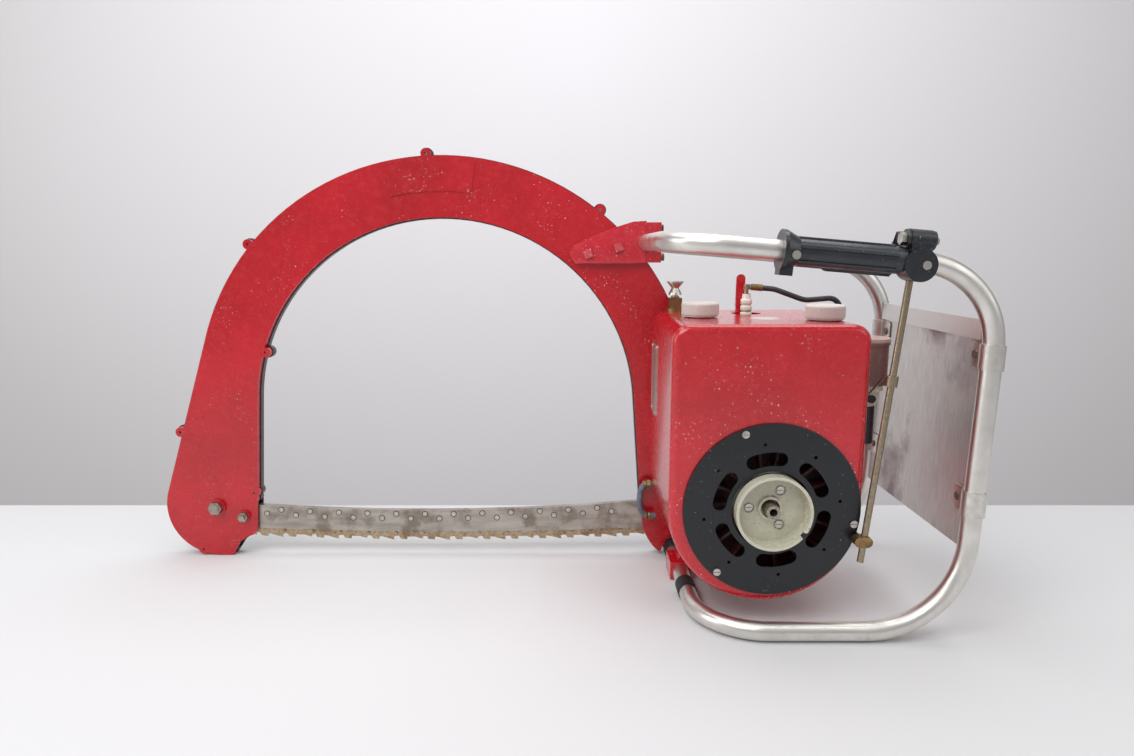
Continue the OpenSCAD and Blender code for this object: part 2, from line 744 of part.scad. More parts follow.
module bow_bracket()
    color(red)
        difference() {
            union() {
                slab(casing_near - bracket_t, casing_near) bracket_profile();
                slab(casing_far, casing_far + bracket_t) bracket_profile();
                slab(casing_near - bracket_t, casing_far + bracket_t) difference() {
                    bracket_profile();
                    translate(arch_c) circle(arch_outer_r + rear_lip + 0.1, $fn = 240);
                }
            }
            crossbar_hole();
            for (c = bolt_places) round_y(c, bolt_r + fit, casing_near - 20, casing_far + bracket_t - 2);
            for (q = clamp_bolt_at)
                translate([cross_x - 16, q.x, q.y]) rotate([0, 90, 0]) cylinder(h = 20, r = clamp_bolt_r + fit);
        }

module bracket_clamp_cap()
    color(red)
        difference() {
            union() {
                translate([cross_x + gap, clamp_near, top_run_z - 11.5])
                    cube([20, clamp_far - clamp_near, 38.5]);
                translate([cross_x + gap, clamp_near, top_run_z - 27]) cube([20, bracket_t - gap, 54]);
            }
            crossbar_hole();
            for (q = clamp_bolt_at)
                translate([cross_x - 1, q.x, q.y]) rotate([0, 90, 0]) cylinder(h = 40, r = clamp_bolt_r + fit);
            translate([cross_x + 15, clamp_near - 1, top_run_z - 12]) cube([7, 60, 24]);
        }

module bracket_bolts()
    color(dark)
        for (c = bolt_places) {
            slab(casing_near - bracket_t - 5, casing_near - bracket_t) translate(c) rotate(20)
                square(11, center = true);
            round_y(c, bolt_r, casing_near - bracket_t, casing_far + bracket_t - 2.5);
        }

module clamp_bolts()
    color(steel)
        for (q = clamp_bolt_at)
            translate([cross_x - 15, q.x, q.y]) rotate([0, 90, 0]) {
                cylinder(h = 35.3, r = clamp_bolt_r);
                translate([0, 0, 35.3]) cylinder(h = 4.5, r = 5, $fn = 6);
            }

// Engine housing
inner_back = housing_back - housing_wall;
inner_front = housing_front + housing_wall;
opening_r = flywheel_r + 4;
oil_cap_at = [mid_x - 65, bow_y - 126];
fuel_cap_at = [mid_x + 76, bow_y - 168];
plug_at = [mid_x + 5, bow_y - 70];
oiler_at = [mid_x - 83, bow_y - 31];
choke_at = [mid_x + 3, bow_y - 38];
neck_r = 18;
carb_at = [housing_right + 33, bow_y - 120];
inlet_x = housing_right - 50;
inlet_z = 240;
inlet_y = carb_at.y + 6;
port_z = 245;
port_x = mid_x + 20;
case_r = 46;
pinion_case_r = 33;

// Front view of the housing: a half round under a box with rounded top corners
module housing_profile(g) {
    translate(mid_c) circle(housing_w / 2 + g, $fn = 180);
    difference() {
        translate([housing_left - g, mid_z]) square([housing_w + 2 * g, housing_top - mid_z + g]);
        for (s = [-1, 1])
            translate([mid_x + s * (housing_w / 2 - housing_corner_r), housing_top - housing_corner_r])
                difference() {
                    translate([s > 0 ? 0 : -99, 0]) square(99);
                    circle(housing_corner_r + g);
                }
    }
}

// The rounded front edge, drawn as one round bar laid along the outline
module housing_front_edge() {
    e = housing_edge_r;
    y = housing_front + e;
    z1 = housing_top - housing_corner_r;
    slab(housing_front, y + eps) housing_profile(-e);
    translate([mid_x, y, mid_z]) rotate([90, 0, 0]) rotate([0, 0, 180])
        rotate_extrude(angle = 180, $fn = 180) translate([housing_w / 2 - e, 0]) circle(e, $fn = 48);
    for (s = [-1, 1]) {
        x = mid_x + s * (housing_w / 2 - e);
        translate([x, y, mid_z]) cylinder(h = z1 - mid_z, r = e, $fn = 48);
        translate([mid_x + s * (housing_w / 2 - housing_corner_r), y, z1]) rotate([90, 0, 0])
            rotate([0, 0, s > 0 ? 0 : 90]) rotate_extrude(angle = 90)
                translate([housing_corner_r - e, 0]) circle(e, $fn = 48);
    }
    translate([housing_left + housing_corner_r, y, housing_top - e]) rotate([0, 90, 0])
        cylinder(h = housing_w - 2 * housing_corner_r, r = e, $fn = 48);
}

module gear_case_profile(g) {
    translate(sprocket_c) circle(case_r + g);
    translate(crank_c) circle(pinion_case_r + g);
}

fan_screw_places = [for (a = [110.5, 230.5, 350.5]) crank_c + 96.3 * dir(a)];

module engine_housing()
    color(red)
        difference() {
            union() {
                slab(housing_front + housing_edge_r, housing_back) housing_profile(0);
                housing_front_edge();
                // Lug for the choke lever's pin
                translate([choke_at.x - 6, choke_at.y - 7, housing_top - 1]) cube([12, 5, 16]);
            }
            slab(inner_front, inner_back) housing_profile(-housing_wall);
            round_y(crank_c, opening_r, housing_front - eps, inner_front + eps);
            for (c = fan_screw_places) round_y(c, screw_r, housing_front - 1, inner_front - 0.5);
            slab(inner_back - eps, housing_back + eps) gear_case_profile(fit);
            for (c = tail_bolt_places) round_y(c, screw_r, inner_back - 1, housing_back + 1);
            for (c = [oil_cap_at, fuel_cap_at])
                translate([c.x, c.y, housing_top - 10]) cylinder(h = 20, r = neck_r + fit);
            translate([plug_at.x, plug_at.y, housing_top - 10]) cylinder(h = 20, r = 19);
            translate([oiler_at.x, oiler_at.y, housing_top - 10]) cylinder(h = 20, r = 7 + fit);
            translate([choke_at.x - 12, choke_at.y - 1.8, housing_top - 10]) cube([24, 6, 20]);
            round_y([choke_at.x, housing_top + 9], 2.5 + fit, choke_at.y - 8, choke_at.y + 8);
            translate([housing_right - 10, inlet_y, inlet_z]) rotate([0, 90, 0]) cylinder(h = 20, r = 10 + fit);
            round_y([port_x, port_z], 12 + fit, inner_back - 1, housing_back + 1);
            // Holes for the oil hose and the plug lead
            translate([housing_right - 10, plug_at.y - 20, lead_z]) rotate([0, 90, 0])
                cylinder(h = 20, r = lead_r + fit);
            translate([oil_hose_at.x, oil_hose_at.y, oil_hose_at.z]) rotate([0, 90, 0])
                cylinder(h = 40, r = 4.5 + fit, center = true);
        }

// Crankcase and cylinder, one block each
crankcase_y = [bow_y - 112, bow_y - 50];
cyl_y = bow_y - 81;
cyl_at = [crank_c.x, cyl_y];
cyl_base_z = crank_c.y + 44;
cyl_head_z = 334;

module crankcase()
    color(alloy)
        difference() {
            union() {
                round_y(crank_c, 43, crankcase_y[0], crankcase_y[1]);
                translate([crank_c.x - 36, crankcase_y[0], crank_c.y])
                    cube([72, crankcase_y[1] - crankcase_y[0], 44]);
                // Feet that carry the block on the housing's wall
                translate([housing_left + housing_wall, crankcase_y[0] + 10, crank_c.y])
                    cube([housing_w - 2 * housing_wall, 40, 12]);
            }
            round_y(crank_c, crank_r + fit, crankcase_y[0] - 1, crankcase_y[1] + 1);
        }

module engine_cylinder()
    color(alloy)
        difference() {
            union() {
                translate([cyl_at.x, cyl_at.y, cyl_base_z]) cylinder(h = cyl_head_z - cyl_base_z, r = 27);
                translate([cyl_at.x - 34, cyl_at.y - 30, cyl_base_z]) cube([68, 60, 6]);
    for (i = [0:9])
                    translate([cyl_at.x, cyl_at.y, cyl_base_z + 30 + i * 11.5]) cylinder(h = 3, r = 38);
                translate([cyl_at.x, inlet_y, inlet_z]) rotate([0, 90, 0])
                    cylinder(h = inlet_x - cyl_at.x, r = 14);
                translate([port_x, cyl_at.y, port_z]) rotate([-90, 0, 0]) cylinder(h = 42, r = 15);
            }
            translate([plug_at.x, plug_at.y, cyl_head_z - 14]) cylinder(h = 20, r = 6.5 + fit);
            translate([inlet_x - 22, inlet_y, inlet_z]) rotate([0, 90, 0]) cylinder(h = 30, r = 9);
            translate([port_x, cyl_at.y + 24, port_z]) rotate([-90, 0, 0]) cylinder(h = 30, r = 10);
        }

module muffler()
    color(dark)
        difference() {
            union() {
                translate([mid_x - 8, housing_back, port_z - 29]) cube([70, 28, 58]);
                round_y([port_x, port_z], 12, cyl_at.y + 42, housing_back + 1);
            }
            translate([mid_x - 6, housing_back + 2, port_z - 27]) cube([66, 24, 54]);
            round_y([port_x, port_z], 9.5, cyl_at.y + 41, housing_back + 3);
            for (i = [0:3]) translate([mid_x + 44, housing_back + 20, port_z - 18 + i * 11])
                rotate([0, 90, 0]) cylinder(h = 40, r = 3);
        }

module spark_plug()
    color(cream) {
        translate([plug_at.x, plug_at.y, cyl_head_z - 13]) cylinder(h = 13, r = 6.5);
        translate([plug_at.x, plug_at.y, cyl_head_z]) cylinder(h = 10, r = 12, $fn = 6);
        translate([plug_at.x, plug_at.y, cyl_head_z + 10]) cylinder(h = 8, r = 8);
        translate([plug_at.x, plug_at.y, cyl_head_z + 18]) cylinder(h = 34, r1 = 6.8, r2 = 5);
        translate([plug_at.x, plug_at.y, cyl_head_z + 52]) cylinder(h = 5, r = 2.4);
        translate([plug_at.x, plug_at.y, cyl_head_z + 57]) cylinder(h = 7, r = 4);
    }

// The lead runs over the housing's right top edge and back in behind the air cleaner
lead_r = 3.5;
lead_z = 292;
coil_y = [housing_front + 18, housing_front + 44];
coil_z = crank_c.y + flywheel_r + 4;
lead_points = [
    [plug_at.x + 4.6, plug_at.y, cyl_head_z + 60.5], [plug_at.x + 34, plug_at.y - 8, cyl_head_z + 58],
    [plug_at.x + 72, plug_at.y - 14, cyl_head_z + 44], [housing_right + 9, plug_at.y - 18, cyl_head_z + 48],
    [housing_right + 12, plug_at.y - 20, lead_z], [housing_right - housing_wall - 0.5, plug_at.y - 20, lead_z]
];

module plug_lead()
    color(dark) bent_tube(lead_points, [0, 30, 30, 14, 12, 0], lead_r);

// Tanks under the housing's top, one casting with two rooms
tank_z = [286, housing_top - housing_wall - gap];

module twin_tank()
    color(alloy)
        difference() {
            union() {
                intersection() {
                    tank_block();
                    slab(inner_front, inner_back) housing_profile(-housing_wall - gap);
                }
                for (c = [oil_cap_at, fuel_cap_at])
                    translate([c.x, c.y, tank_z[1] - 1]) cylinder(h = housing_top + 1 - tank_z[1], r = neck_r);
            }
            tank_rooms();
            for (c = [oil_cap_at, fuel_cap_at])
                translate([c.x, c.y, tank_z[1] - 8]) cylinder(h = 30, r = 13 + fit);
        }

module tank_block() {
    h = tank_z[1] - tank_z[0];
    translate([housing_left + 8, bow_y - 170, tank_z[0]]) cube([62, 120, h]);
    translate([housing_right - 65, bow_y - 200, tank_z[0]]) cube([57, 130, h]);
    translate([housing_left + 8, bow_y - 200, tank_z[0] + 20]) cube([housing_w - 16, 40, h - 20]);
}

module tank_rooms() {
    h = tank_z[1] - tank_z[0] - 6;
    translate([housing_left + 11, bow_y - 158, tank_z[0] + 3]) cube([56, 105, h]);
    translate([housing_right - 62, bow_y - 197, tank_z[0] + 3]) cube([51, 124, h]);
}

module cap_on(c)
    translate([c.x, c.y, housing_top + 1.3]) {
        translate([0, 0, -11]) cylinder(h = 12, r = 13);
        cylinder(h = 2.5, r = cap_r - 1.5);
        translate([0, 0, 2.4]) rotate_extrude() {
            square([cap_r, 11.6]);
            square([cap_r - 3, 14.6]);
            translate([cap_r - 3, 11.6]) circle(3, $fn = 32);
        }
    }

module fuel_cap() color(alloy) cap_on(fuel_cap_at);

module oil_cap() color(alloy) cap_on(oil_cap_at);

oiler_travel = 12;

module oiler_body()
    color(brass)
        translate([oiler_at.x, oiler_at.y, 0]) difference() {
            union() {
                translate([0, 0, housing_top]) cylinder(h = 4, r = 11.5);
                translate([-8.5, -8.5, housing_top + 3]) cube([17, 17, 15]);
                translate([0, 0, housing_top + 17]) cylinder(h = 3, r = 5.5);
                translate([0, 0, housing_top - 34]) cylinder(h = 35, r = 7);
            }
            translate([0, 0, housing_top - 30]) cylinder(h = 60, r = 4.2 + fit);
        }

module oiler_plunger()
    color(brass)
        translate([oiler_at.x, oiler_at.y, housing_top + 20]) {
            translate([0, 0, -34]) cylinder(h = 50, r = 4.2);
            translate([0, 0, 2.2]) cylinder(h = 3, r1 = 9, r2 = 8.2);
            translate([0, 0, 5.2]) cylinder(h = 6, r1 = 8.2, r2 = 5);
            translate([0, 0, 11.2]) cylinder(h = 7, r1 = 5, r2 = 10.4);
            translate([0, 0, 18.2]) cylinder(h = 2, r = 11);
        }

module choke_lever()
    color(red)
        difference() {
            union() {
                slab(choke_at.y - 1.6, choke_at.y + 1.6) {
                    translate([choke_at.x, housing_top + 9]) circle(6);
                    polygon([
                        [choke_at.x - 5.5, housing_top + 6], [choke_at.x + 5.5, housing_top + 6],
                        [choke_at.x + 7, housing_top + 44], [choke_at.x - 5, housing_top + 44]
                    ]);
                    translate([choke_at.x + 1, housing_top + 44]) circle(6);
                    polygon([
                        [choke_at.x - 3, housing_top + 10], [choke_at.x + 3, housing_top + 10],
                        [choke_at.x + 3, housing_top - 14], [choke_at.x - 3, housing_top - 14]
                    ]);
                }
                round_y([choke_at.x, housing_top + 9], 2.5, choke_at.y - 9, choke_at.y + 1);
            }
        }

// Flywheel with its fan, and the starter cup in front of it
fly_y = [bow_y - 212, bow_y - 180];
cup_y = [bow_y - 245, bow_y - 220];
cup_rim_l = 13;
cup_screw_places = [for (a = [60, 180, 300]) crank_c + 24 * dir(a)];
head_h = 2.4;

module flywheel()
    color(alloy)
        difference() {
            union() {
                round_y(crank_c, flywheel_r, fly_y[1] - 8, fly_y[1]);
                round_y(crank_c, 32, fly_y[0], fly_y[1] + 10);
                for (a = [0:20:340])
                    slab(fly_y[0] + 4, fly_y[1] - 7) translate(crank_c) rotate(a) translate([46, -1.5])
                        square([flywheel_r - 47, 3]);
            }
            round_y(crank_c, crank_r + fit, fly_y[0] - 1, fly_y[1] + 12);
            for (c = cup_screw_places) round_y(c, screw_r, fly_y[0] - 1, fly_y[0] + 9);
        }

module crankshaft()
    color(steel) {
        round_y(crank_c, crank_r, fly_y[0] - 3.5, gear_y + gear_w / 2 + 4);
        ring_y(crank_c, 8, 4.6, cup_y[0] + 6, fly_y[0] - 3.5 + eps);
    }

module starter_cup()
    color(cream)
        difference() {
            union() {
                round_y(crank_c, starter_r, cup_y[0], cup_y[0] + cup_rim_l);
                round_y(crank_c, starter_r - 1, cup_y[0] + 1, fly_y[0] - 4);
                round_y(crank_c, 30, fly_y[0] - 5, fly_y[0]);
            }
            difference() {
                round_y(crank_c, starter_r - 3.5, cup_y[0] - 1, cup_y[1]);
                round_y(crank_c, 14, cup_y[1] - 5, cup_y[1] + 1);
            }
            round_y(crank_c, 11.2, cup_y[0], fly_y[0] - 3.5);
            round_y(crank_c, crank_r + fit, cup_y[0], fly_y[0] + 1);
            for (c = cup_screw_places) {
                round_y(c, screw_r, cup_y[0], fly_y[0] + 1);
                round_y(c, 6.5, cup_y[0], cup_y[1] + head_h);
            }
            // Slanting notch that the starter rope's knot hooks into
            slab(cup_y[0] - 1, cup_y[0] + 11) translate(crank_c) rotate(-38)
                polygon([[38, -7], [48, 1], [48, 9], [38, 2]]);
        }

module starter_screws()
    color(steel)
        for (c = cup_screw_places) {
            slotted_head(c, 4.4, head_h, cup_y[1] + head_h);
            round_y(c, screw_r - fit, cup_y[1] + head_h, fly_y[0] + 8);
        }

fan_slots = [for (k = [0:5]) 97.5 + 60 * k];
fan_holes = [for (k = [0:7]) crank_c + 78.7 * dir(98 + 45 * k)];

module fan_cover()
    color(black)
        difference() {
            round_y(crank_c, fan_cover_r, housing_front - 3, housing_front);
            round_y(crank_c, starter_r + 2.5, housing_front - 4, housing_front + 1);
            for (a = fan_slots)
                slab(housing_front - 4, housing_front + 1) translate(crank_c) rotate(a - 15) {
                    arc_strip(53, 69, 30);
                    for (b = [0, 30]) rotate(b) translate([61, 0]) circle(8 - inset);
                }
            for (c = fan_screw_places) round_y(c, screw_r, housing_front - 4, housing_front + 1);
            for (c = fan_holes) round_y(c, 2, housing_front - 4, housing_front + 1);
        }

// A strip of a ring between two radii, l degrees long from +X
module arc_strip(r0, r1, l)
    difference() {
        intersection() {
            circle(r1);
            polygon([[0, 0], 2 * r1 * dir(0), 2 * r1 * dir(l / 2), 2 * r1 * dir(l)]);
        }
        circle(r0);
    }

module fan_cover_screws()
    color(steel)
        for (c = fan_screw_places) {
            slotted_head(c, 4.4, 2.6, housing_front - 3);
            round_y(c, screw_r - fit, housing_front - 3, inner_front - 1);
        }

module magneto_coil()
    color(dark)
        difference() {
            union() {
                for (x = [-24, 14])
                    translate([crank_c.x + x, coil_y[0], coil_z]) cube([10, coil_y[1] - coil_y[0], 34]);
                translate([crank_c.x - 24, coil_y[0], coil_z + 22]) cube([48, coil_y[1] - coil_y[0], 12]);
                // Strap that carries the coil between the housing's side walls
                translate([housing_left + housing_wall, coil_y[0], coil_z + 30])
                    cube([housing_w - 2 * housing_wall, 10, 8]);
            }
            round_y(crank_c, flywheel_r + 2, coil_y[0] - 1, coil_y[1] + 1);
        }

module gear_case()
    color(alloy)
        difference() {
            slab(case_y, housing_back) gear_case_profile(0);
            slab(case_y + 6, housing_back + 1) gear_case_profile(-3);
            round_y(crank_c, crank_r + fit, case_y - 1, case_y + 8);
            round_y(sprocket_c, shaft_r + fit, case_y + 3.9, case_y + 8);
        }

// Carburettor stack on the housing's right side
module carburettor()
    color(cream)
        difference() {
            union() {
                translate([carb_at.x, carb_at.y, 254]) cylinder(h = 16, r = 19);
                translate([carb_at.x, carb_at.y, 268]) cylinder(h = 8, r = 24);
                translate([carb_at.x, carb_at.y, 248]) cylinder(h = 6, r = 15);
                translate([housing_right, inlet_y, inlet_z]) rotate([0, 90, 0]) cylinder(h = 7, r = 17);
                translate([inlet_x, inlet_y, inlet_z]) rotate([0, 90, 0])
                    cylinder(h = housing_right + 10 - inlet_x, r = 10);
                translate([housing_right + 5, inlet_y - 10, inlet_z - 2]) cube([20, 20, 26]);
            }
            translate([carb_at.x, carb_at.y, 250]) cylinder(h = 40, r = 9);
            translate([carb_at.x, carb_at.y - 40, 261]) rotate([-90, 0, 0]) cylinder(h = 80, r = 2.5 + fit);
            translate([carb_at.x, carb_at.y, 200]) cylinder(h = 48, r = 17);
        }

module float_bowl()
    color(black) {
        translate([carb_at.x, carb_at.y, 200]) cylinder(h = 48, r = 16);
        translate([carb_at.x, carb_at.y, 194]) cylinder(h = 6, r = 6, $fn = 6);
    }

module air_cleaner()
    color(brass)
        difference() {
            union() {
                translate([carb_at.x, carb_at.y, 276]) cylinder(h = 50, r = 28);
                translate([carb_at.x, carb_at.y, 326]) cylinder(h = 8, r = 29.5);
                translate([carb_at.x, carb_at.y, 334]) cylinder(h = 4, r = 4);
            }
            translate([carb_at.x, carb_at.y, 275]) cylinder(h = 48, r = 9);
        }

throttle_axle = [carb_at.x, carb_at.y, 261];

arm_l = 14;
arm_turn = 18;

module throttle_arm()
    color(steel) {
        translate([throttle_axle.x, throttle_axle.y - 30, throttle_axle.z]) rotate([-90, 0, 0])
            cylinder(h = 48, r = 2.5);
        slab(throttle_axle.y - 32, throttle_axle.y - 30)
            translate([throttle_axle.x, throttle_axle.z]) rotate(-arm_turn / 2) difference() {
                union() {
                    circle(5);
                    translate([-arm_l, 0]) circle(4);
                    polygon([[0, -4.96], [0, 4.96], [-arm_l, 3.96], [-arm_l, -3.96]]);
                }
                translate([-arm_l, 0]) circle(1.9);
            }
    }

// Oil line from the housing down to the bow
oil_hose_at = [housing_left + 4, bow_y - 20, 111];

module oil_hose()
    color(dark) {
        bent_tube([
            oil_hose_at + [6, 0, 0], oil_hose_at - [22, 0, 0], oil_hose_at + [-22, -4, -42],
            oil_hose_at + [6, -4, -45]
        ], [0, 12, 14, 0], 4.5);
        translate(oil_hose_at - [9, 0, 0]) rotate([0, 90, 0]) cylinder(h = 5, r = 8, $fn = 6);
    }

// Tube frame: two bent halves that meet in the bow's clamp and in the sled's clamp
top_end = [frame_x, near_y, top_run_z - top_run_drop];
foot_x = frame_x - 14;
sled_y = bow_y - 74;
low_z = tube_r + 0.03;
corner_r = 60;
far_corner_r = 24;

near_points = [
    [cross_x, bow_y, top_run_z], [cross_x, near_y, top_run_z], top_end, [foot_x, near_y, low_z],
    [sled_x, near_y, low_z], [sled_x, sled_y, low_z]
];
far_points = [
    [cross_x, bow_y, top_run_z], [cross_x, far_y, top_run_z], [frame_x, far_y, top_end.z],
    [foot_x, far_y, low_z], [sled_x, far_y, low_z], [sled_x, sled_y, low_z]
];

module near_tube()
    color(old_steel)
        difference() {
            bent_tube(near_points, [0, corner_r, top_bend_r, bottom_bend_r, sled_bend_r, 0], tube_r,
                tube_r - tube_wall);
            grip_screw_holes(3 + fit);
        }

module far_tube()
    color(old_steel)
        bent_tube(far_points, [0, far_corner_r, top_bend_r, bottom_bend_r, far_corner_r, 0], tube_r,
            tube_r - tube_wall);

module sled_sleeves()
    color(black)
        for (y = [bow_y - 145, bow_y - 15])
            translate([sled_x, y, low_z]) rotate([90, 0, 0]) difference() {
                cylinder(h = 26, r = tube_r + 1.3, center = true);
                cylinder(h = 28, r = tube_hole, center = true);
                translate([0, -tube_r - 5, 0]) cube([60, 10, 40], center = true);
            }

// Clamp that joins the tube halves under the engine and carries the housing
module sled_clamp()
    color(red)
        difference() {
            union() {
                translate([sled_x - 14, sled_y - 22, 1]) cube([28, 44, 24]);
                translate([sled_x - 9, sled_y - 14, 14]) rotate([0, 30, 0]) cube([20, 28, 60]);
            }
            translate([sled_x, sled_y - 30, low_z]) rotate([-90, 0, 0]) cylinder(h = 60, r = tube_hole);
            round_y(mid_c, housing_w / 2, sled_y - 40, sled_y + 40);
        }

// Grip on the near tube's top run, drawn along the tube from the grip's left end
slope = atan(top_run_drop / (frame_x - cross_x));
grip_x0 = mid_x - 6;

module on_grip(x)
    translate([grip_x0, near_y, top_run_z - (grip_x0 - cross_x) * tan(slope)]) rotate([0, slope, 0])
        translate([x, 0, 0]) children();

// The cross screws' places along the grip and above the tube's axis
grip_boss_x = grip_l - 5.5;
boss_z = -3.6;
grip_screw_at = [[12.5, -4], [grip_boss_x + 4.8, -3.3]];
screw_head_y = [17.6, 15];
barrel_z = 22.6;
barrel_x = [-12, 12];
barrel_r = 11;
ear_r = 10.4;
lever_bolt_r = 4;
collar_r = 22;

module grip_body()
    difference() {
        union() {
            on_grip(12) rotate([0, 90, 0]) cylinder(h = grip_l - 35, r = 14.6);
            on_grip(grip_l - 30) rotate([0, 90, 0]) cylinder(h = 9.3, r = 13.4);
            for (a = [12:60:312]) on_grip(12) rotate([a, 0, 0]) translate([0, -1.4, 0])
                cube([grip_l - 42, 2.8, 16]);
            // Flared collar with its lug at the left end
            on_grip(0) rotate([0, 90, 0]) cylinder(h = 4, r = collar_r);
            on_grip(4) rotate([0, 90, 0]) cylinder(h = 14, r1 = collar_r, r2 = 15.4);
            on_grip(0) translate([0, -9, -26]) cube([14, 18, 14]);
            on_grip(grip_boss_x) translate([0, 12, boss_z]) rotate([90, 0, 0]) cylinder(h = 27, r = 17.4);
        }
        grip_bore();
        grip_screw_holes(3 + fit);
        // Seat of the left screw's head
        on_grip(grip_screw_at[0].x) translate([0, 0, grip_screw_at[0].y]) rotate([90, 0, 0])
            translate([0, 0, screw_head_y[0]]) cylinder(h = 12, r = 5.4);
    }

// The tube's bore through the grip, a little wider where the tube starts to bend
module grip_bore() {
    on_grip(-20) rotate([0, 90, 0]) cylinder(h = grip_l + 60, r = tube_hole);
    on_grip(grip_l + 5) rotate([0, 90, 0]) cylinder(h = 30, r = tube_r + 0.8);
}

module grip_screw_holes(r)
    for (q = grip_screw_at)
        on_grip(q.x) translate([0, 0, q.y]) rotate([90, 0, 0]) cylinder(h = 60, r = r, center = true);

// The barrel over the boss, cast with the near half, which the throttle lever straddles
module grip_barrel()
    on_grip(grip_boss_x) {
        translate([barrel_x[0], 0, barrel_z]) rotate([0, 90, 0])
            cylinder(h = barrel_x[1] - barrel_x[0], r = barrel_r);
        translate([barrel_x[0] + 1, -10.5, 4]) cube([barrel_x[1] - barrel_x[0] - 2, 10.5, barrel_z - 4]);
    }

module grip_near_half()
    color(black)
        difference() {
            union() {
                intersection() {
                    grip_body();
                    translate([grip_x0 - 50, near_y - 50, 300]) cube([300, 50, 200]);
                }
                grip_barrel();
            }
            grip_bore();
            grip_screw_holes(3 + fit);
            on_grip(grip_boss_x) translate([-40, 0, barrel_z]) rotate([0, 90, 0])
                cylinder(h = 80, r = lever_bolt_r + fit);
        }

module grip_far_half()
    color(black)
        difference() {
            intersection() {
                grip_body();
                translate([grip_x0 - 50, near_y, 300]) cube([300, 50, 200]);
            }
            on_grip(grip_boss_x) translate([barrel_x[0] - 1, 0, barrel_z]) rotate([0, 90, 0])
                cylinder(h = barrel_x[1] - barrel_x[0] + 2, r = barrel_r + gap);
        }

// Cross screws of the grip, and the bolt that the throttle lever turns on
module grip_screws()
    color(steel) {
        for (k = [0, 1])
            on_grip(grip_screw_at[k].x) translate([0, 0, grip_screw_at[k].y]) rotate([90, 0, 0]) {
                translate([0, 0, -11.6]) cylinder(h = screw_head_y[k] + 11.6, r = 3);
                translate([0, 0, screw_head_y[k]]) cylinder(h = 2.4, r = 4.6);
            }
        on_grip(grip_boss_x) translate([0, 0, barrel_z]) rotate([0, 90, 0]) {
            translate([0, 0, barrel_x[0] - lever_t - 5.6]) cylinder(h = 5, r = 7, $fn = 6);
            translate([0, 0, barrel_x[0] - lever_t - 1])
                cylinder(h = barrel_x[1] - barrel_x[0] + 2 * lever_t + 2, r = lever_bolt_r);
            translate([0, 0, barrel_x[1] + lever_t + 0.6]) cylinder(h = 2, r = 6);
            translate([0, 0, barrel_x[1] + lever_t + 2.5]) cylinder(h = 3, r1 = 6, r2 = 3.5);
        }
    }

// Throttle lever: two ears turn on the barrel's bolt, and a paddle hangs behind the grip
lever_t = 2.6;
lever_y = [24.5, 27.5];
lever_arm = 17;
arm_lift = lever_arm * sin(trigger_turn / 2);
pin_y = lever_arm * cos(trigger_turn / 2);
pin_r = 2;
pin_x = 5;
eye_w = 7.2;

// A side plate of the lever, seen along the tube: an ear round the bolt with a tail to the back plate
module lever_ear(x)
    translate([x, 0, barrel_z]) rotate([90, 0, 90]) linear_extrude(lever_t) difference() {
        union() {
            circle(ear_r);
            polygon([[0, -8], [lever_y[1] - 0.5, -8], [lever_y[1] - 0.5, 8], [0, 8]]);
        }
        circle(lever_bolt_r + fit);
    }

// The lever's back plate, arm and paddle, seen from the front
module lever_back_profile() {
    translate([-17, barrel_z - 9]) square([barrel_x[1] + lever_t + 17.3, 18]);
    translate([-17, -27]) square([6, 45]);
    translate([-84, -35]) square([69, 17]);
    translate([-84, -26.5]) circle(8.5);
    translate([-19.5, -26.5]) circle(8.5);
}

module throttle_trigger()
    color(black)
        on_grip(grip_boss_x) {
            lever_ear(barrel_x[0] - lever_t - 0.3);
            lever_ear(barrel_x[1] + 0.3);
            translate([0, lever_y[1], 0]) rotate([90, 0, 0]) linear_extrude(lever_y[1] - lever_y[0])
                lever_back_profile();
            // Fork and pin that carry the rod's eye
            for (x = [-eye_w / 2 - 4.2, eye_w / 2 + 0.6])
                translate([pin_x + x, pin_y - 4, barrel_z + arm_lift - 4])
                    cube([3.6, lever_y[1] - 1 - pin_y + 4, 8]);
            translate([pin_x - eye_w / 2 - 1, pin_y, barrel_z + arm_lift]) rotate([0, 90, 0])
                cylinder(h = eye_w + 2, r = pin_r);
        }

// Throttle rod: its eye hangs on the lever's pin, and a wire leads from its clip to the throttle arm
slope_x = [cos(slope), 0, -sin(slope)];
slope_z = [sin(slope), 0, cos(slope)];
rod_top = [grip_x0, near_y, top_run_z - (grip_x0 - cross_x) * tan(slope)] + (grip_boss_x + pin_x) * slope_x
    + [0, pin_y, 0] + (barrel_z + arm_lift) * slope_z;
rod_foot = [housing_right - 4.5, bow_y - 241, 88];
rod_dir = unit(rod_top - rod_foot);
rod_clip = rod_foot + rod_dir * 212;
wire_r = 1.2;
wire_end = throttle_axle + [-arm_l * cos(arm_turn / 2), -28, arm_l * sin(arm_turn / 2)];

module throttle_rod()
    color(steel)
        difference() {
            union() {
                bar_between(rod_foot, rod_top - rod_dir * 5, throttle_rod_r);
                bar_between(rod_clip - rod_dir * 6, rod_clip + rod_dir * 6, throttle_rod_r + 2.6);
                bar_between(rod_top - slope_x * eye_w / 2, rod_top + slope_x * eye_w / 2, 5.4);
                bent_tube([rod_clip, rod_clip + [4, 30, 0], wire_end - [0, 14, 0], wire_end],
                    [0, 12, 8, 0], wire_r);
            }
            bar_between(rod_top - slope_x * eye_w, rod_top + slope_x * eye_w, pin_r + 0.35);
        }

guide_at = rod_foot + rod_dir * 25.5;
guide_r = 6.2;
guide_w = 8.2;
guide_lug = [guide_at.x - 2.2, guide_at.z];

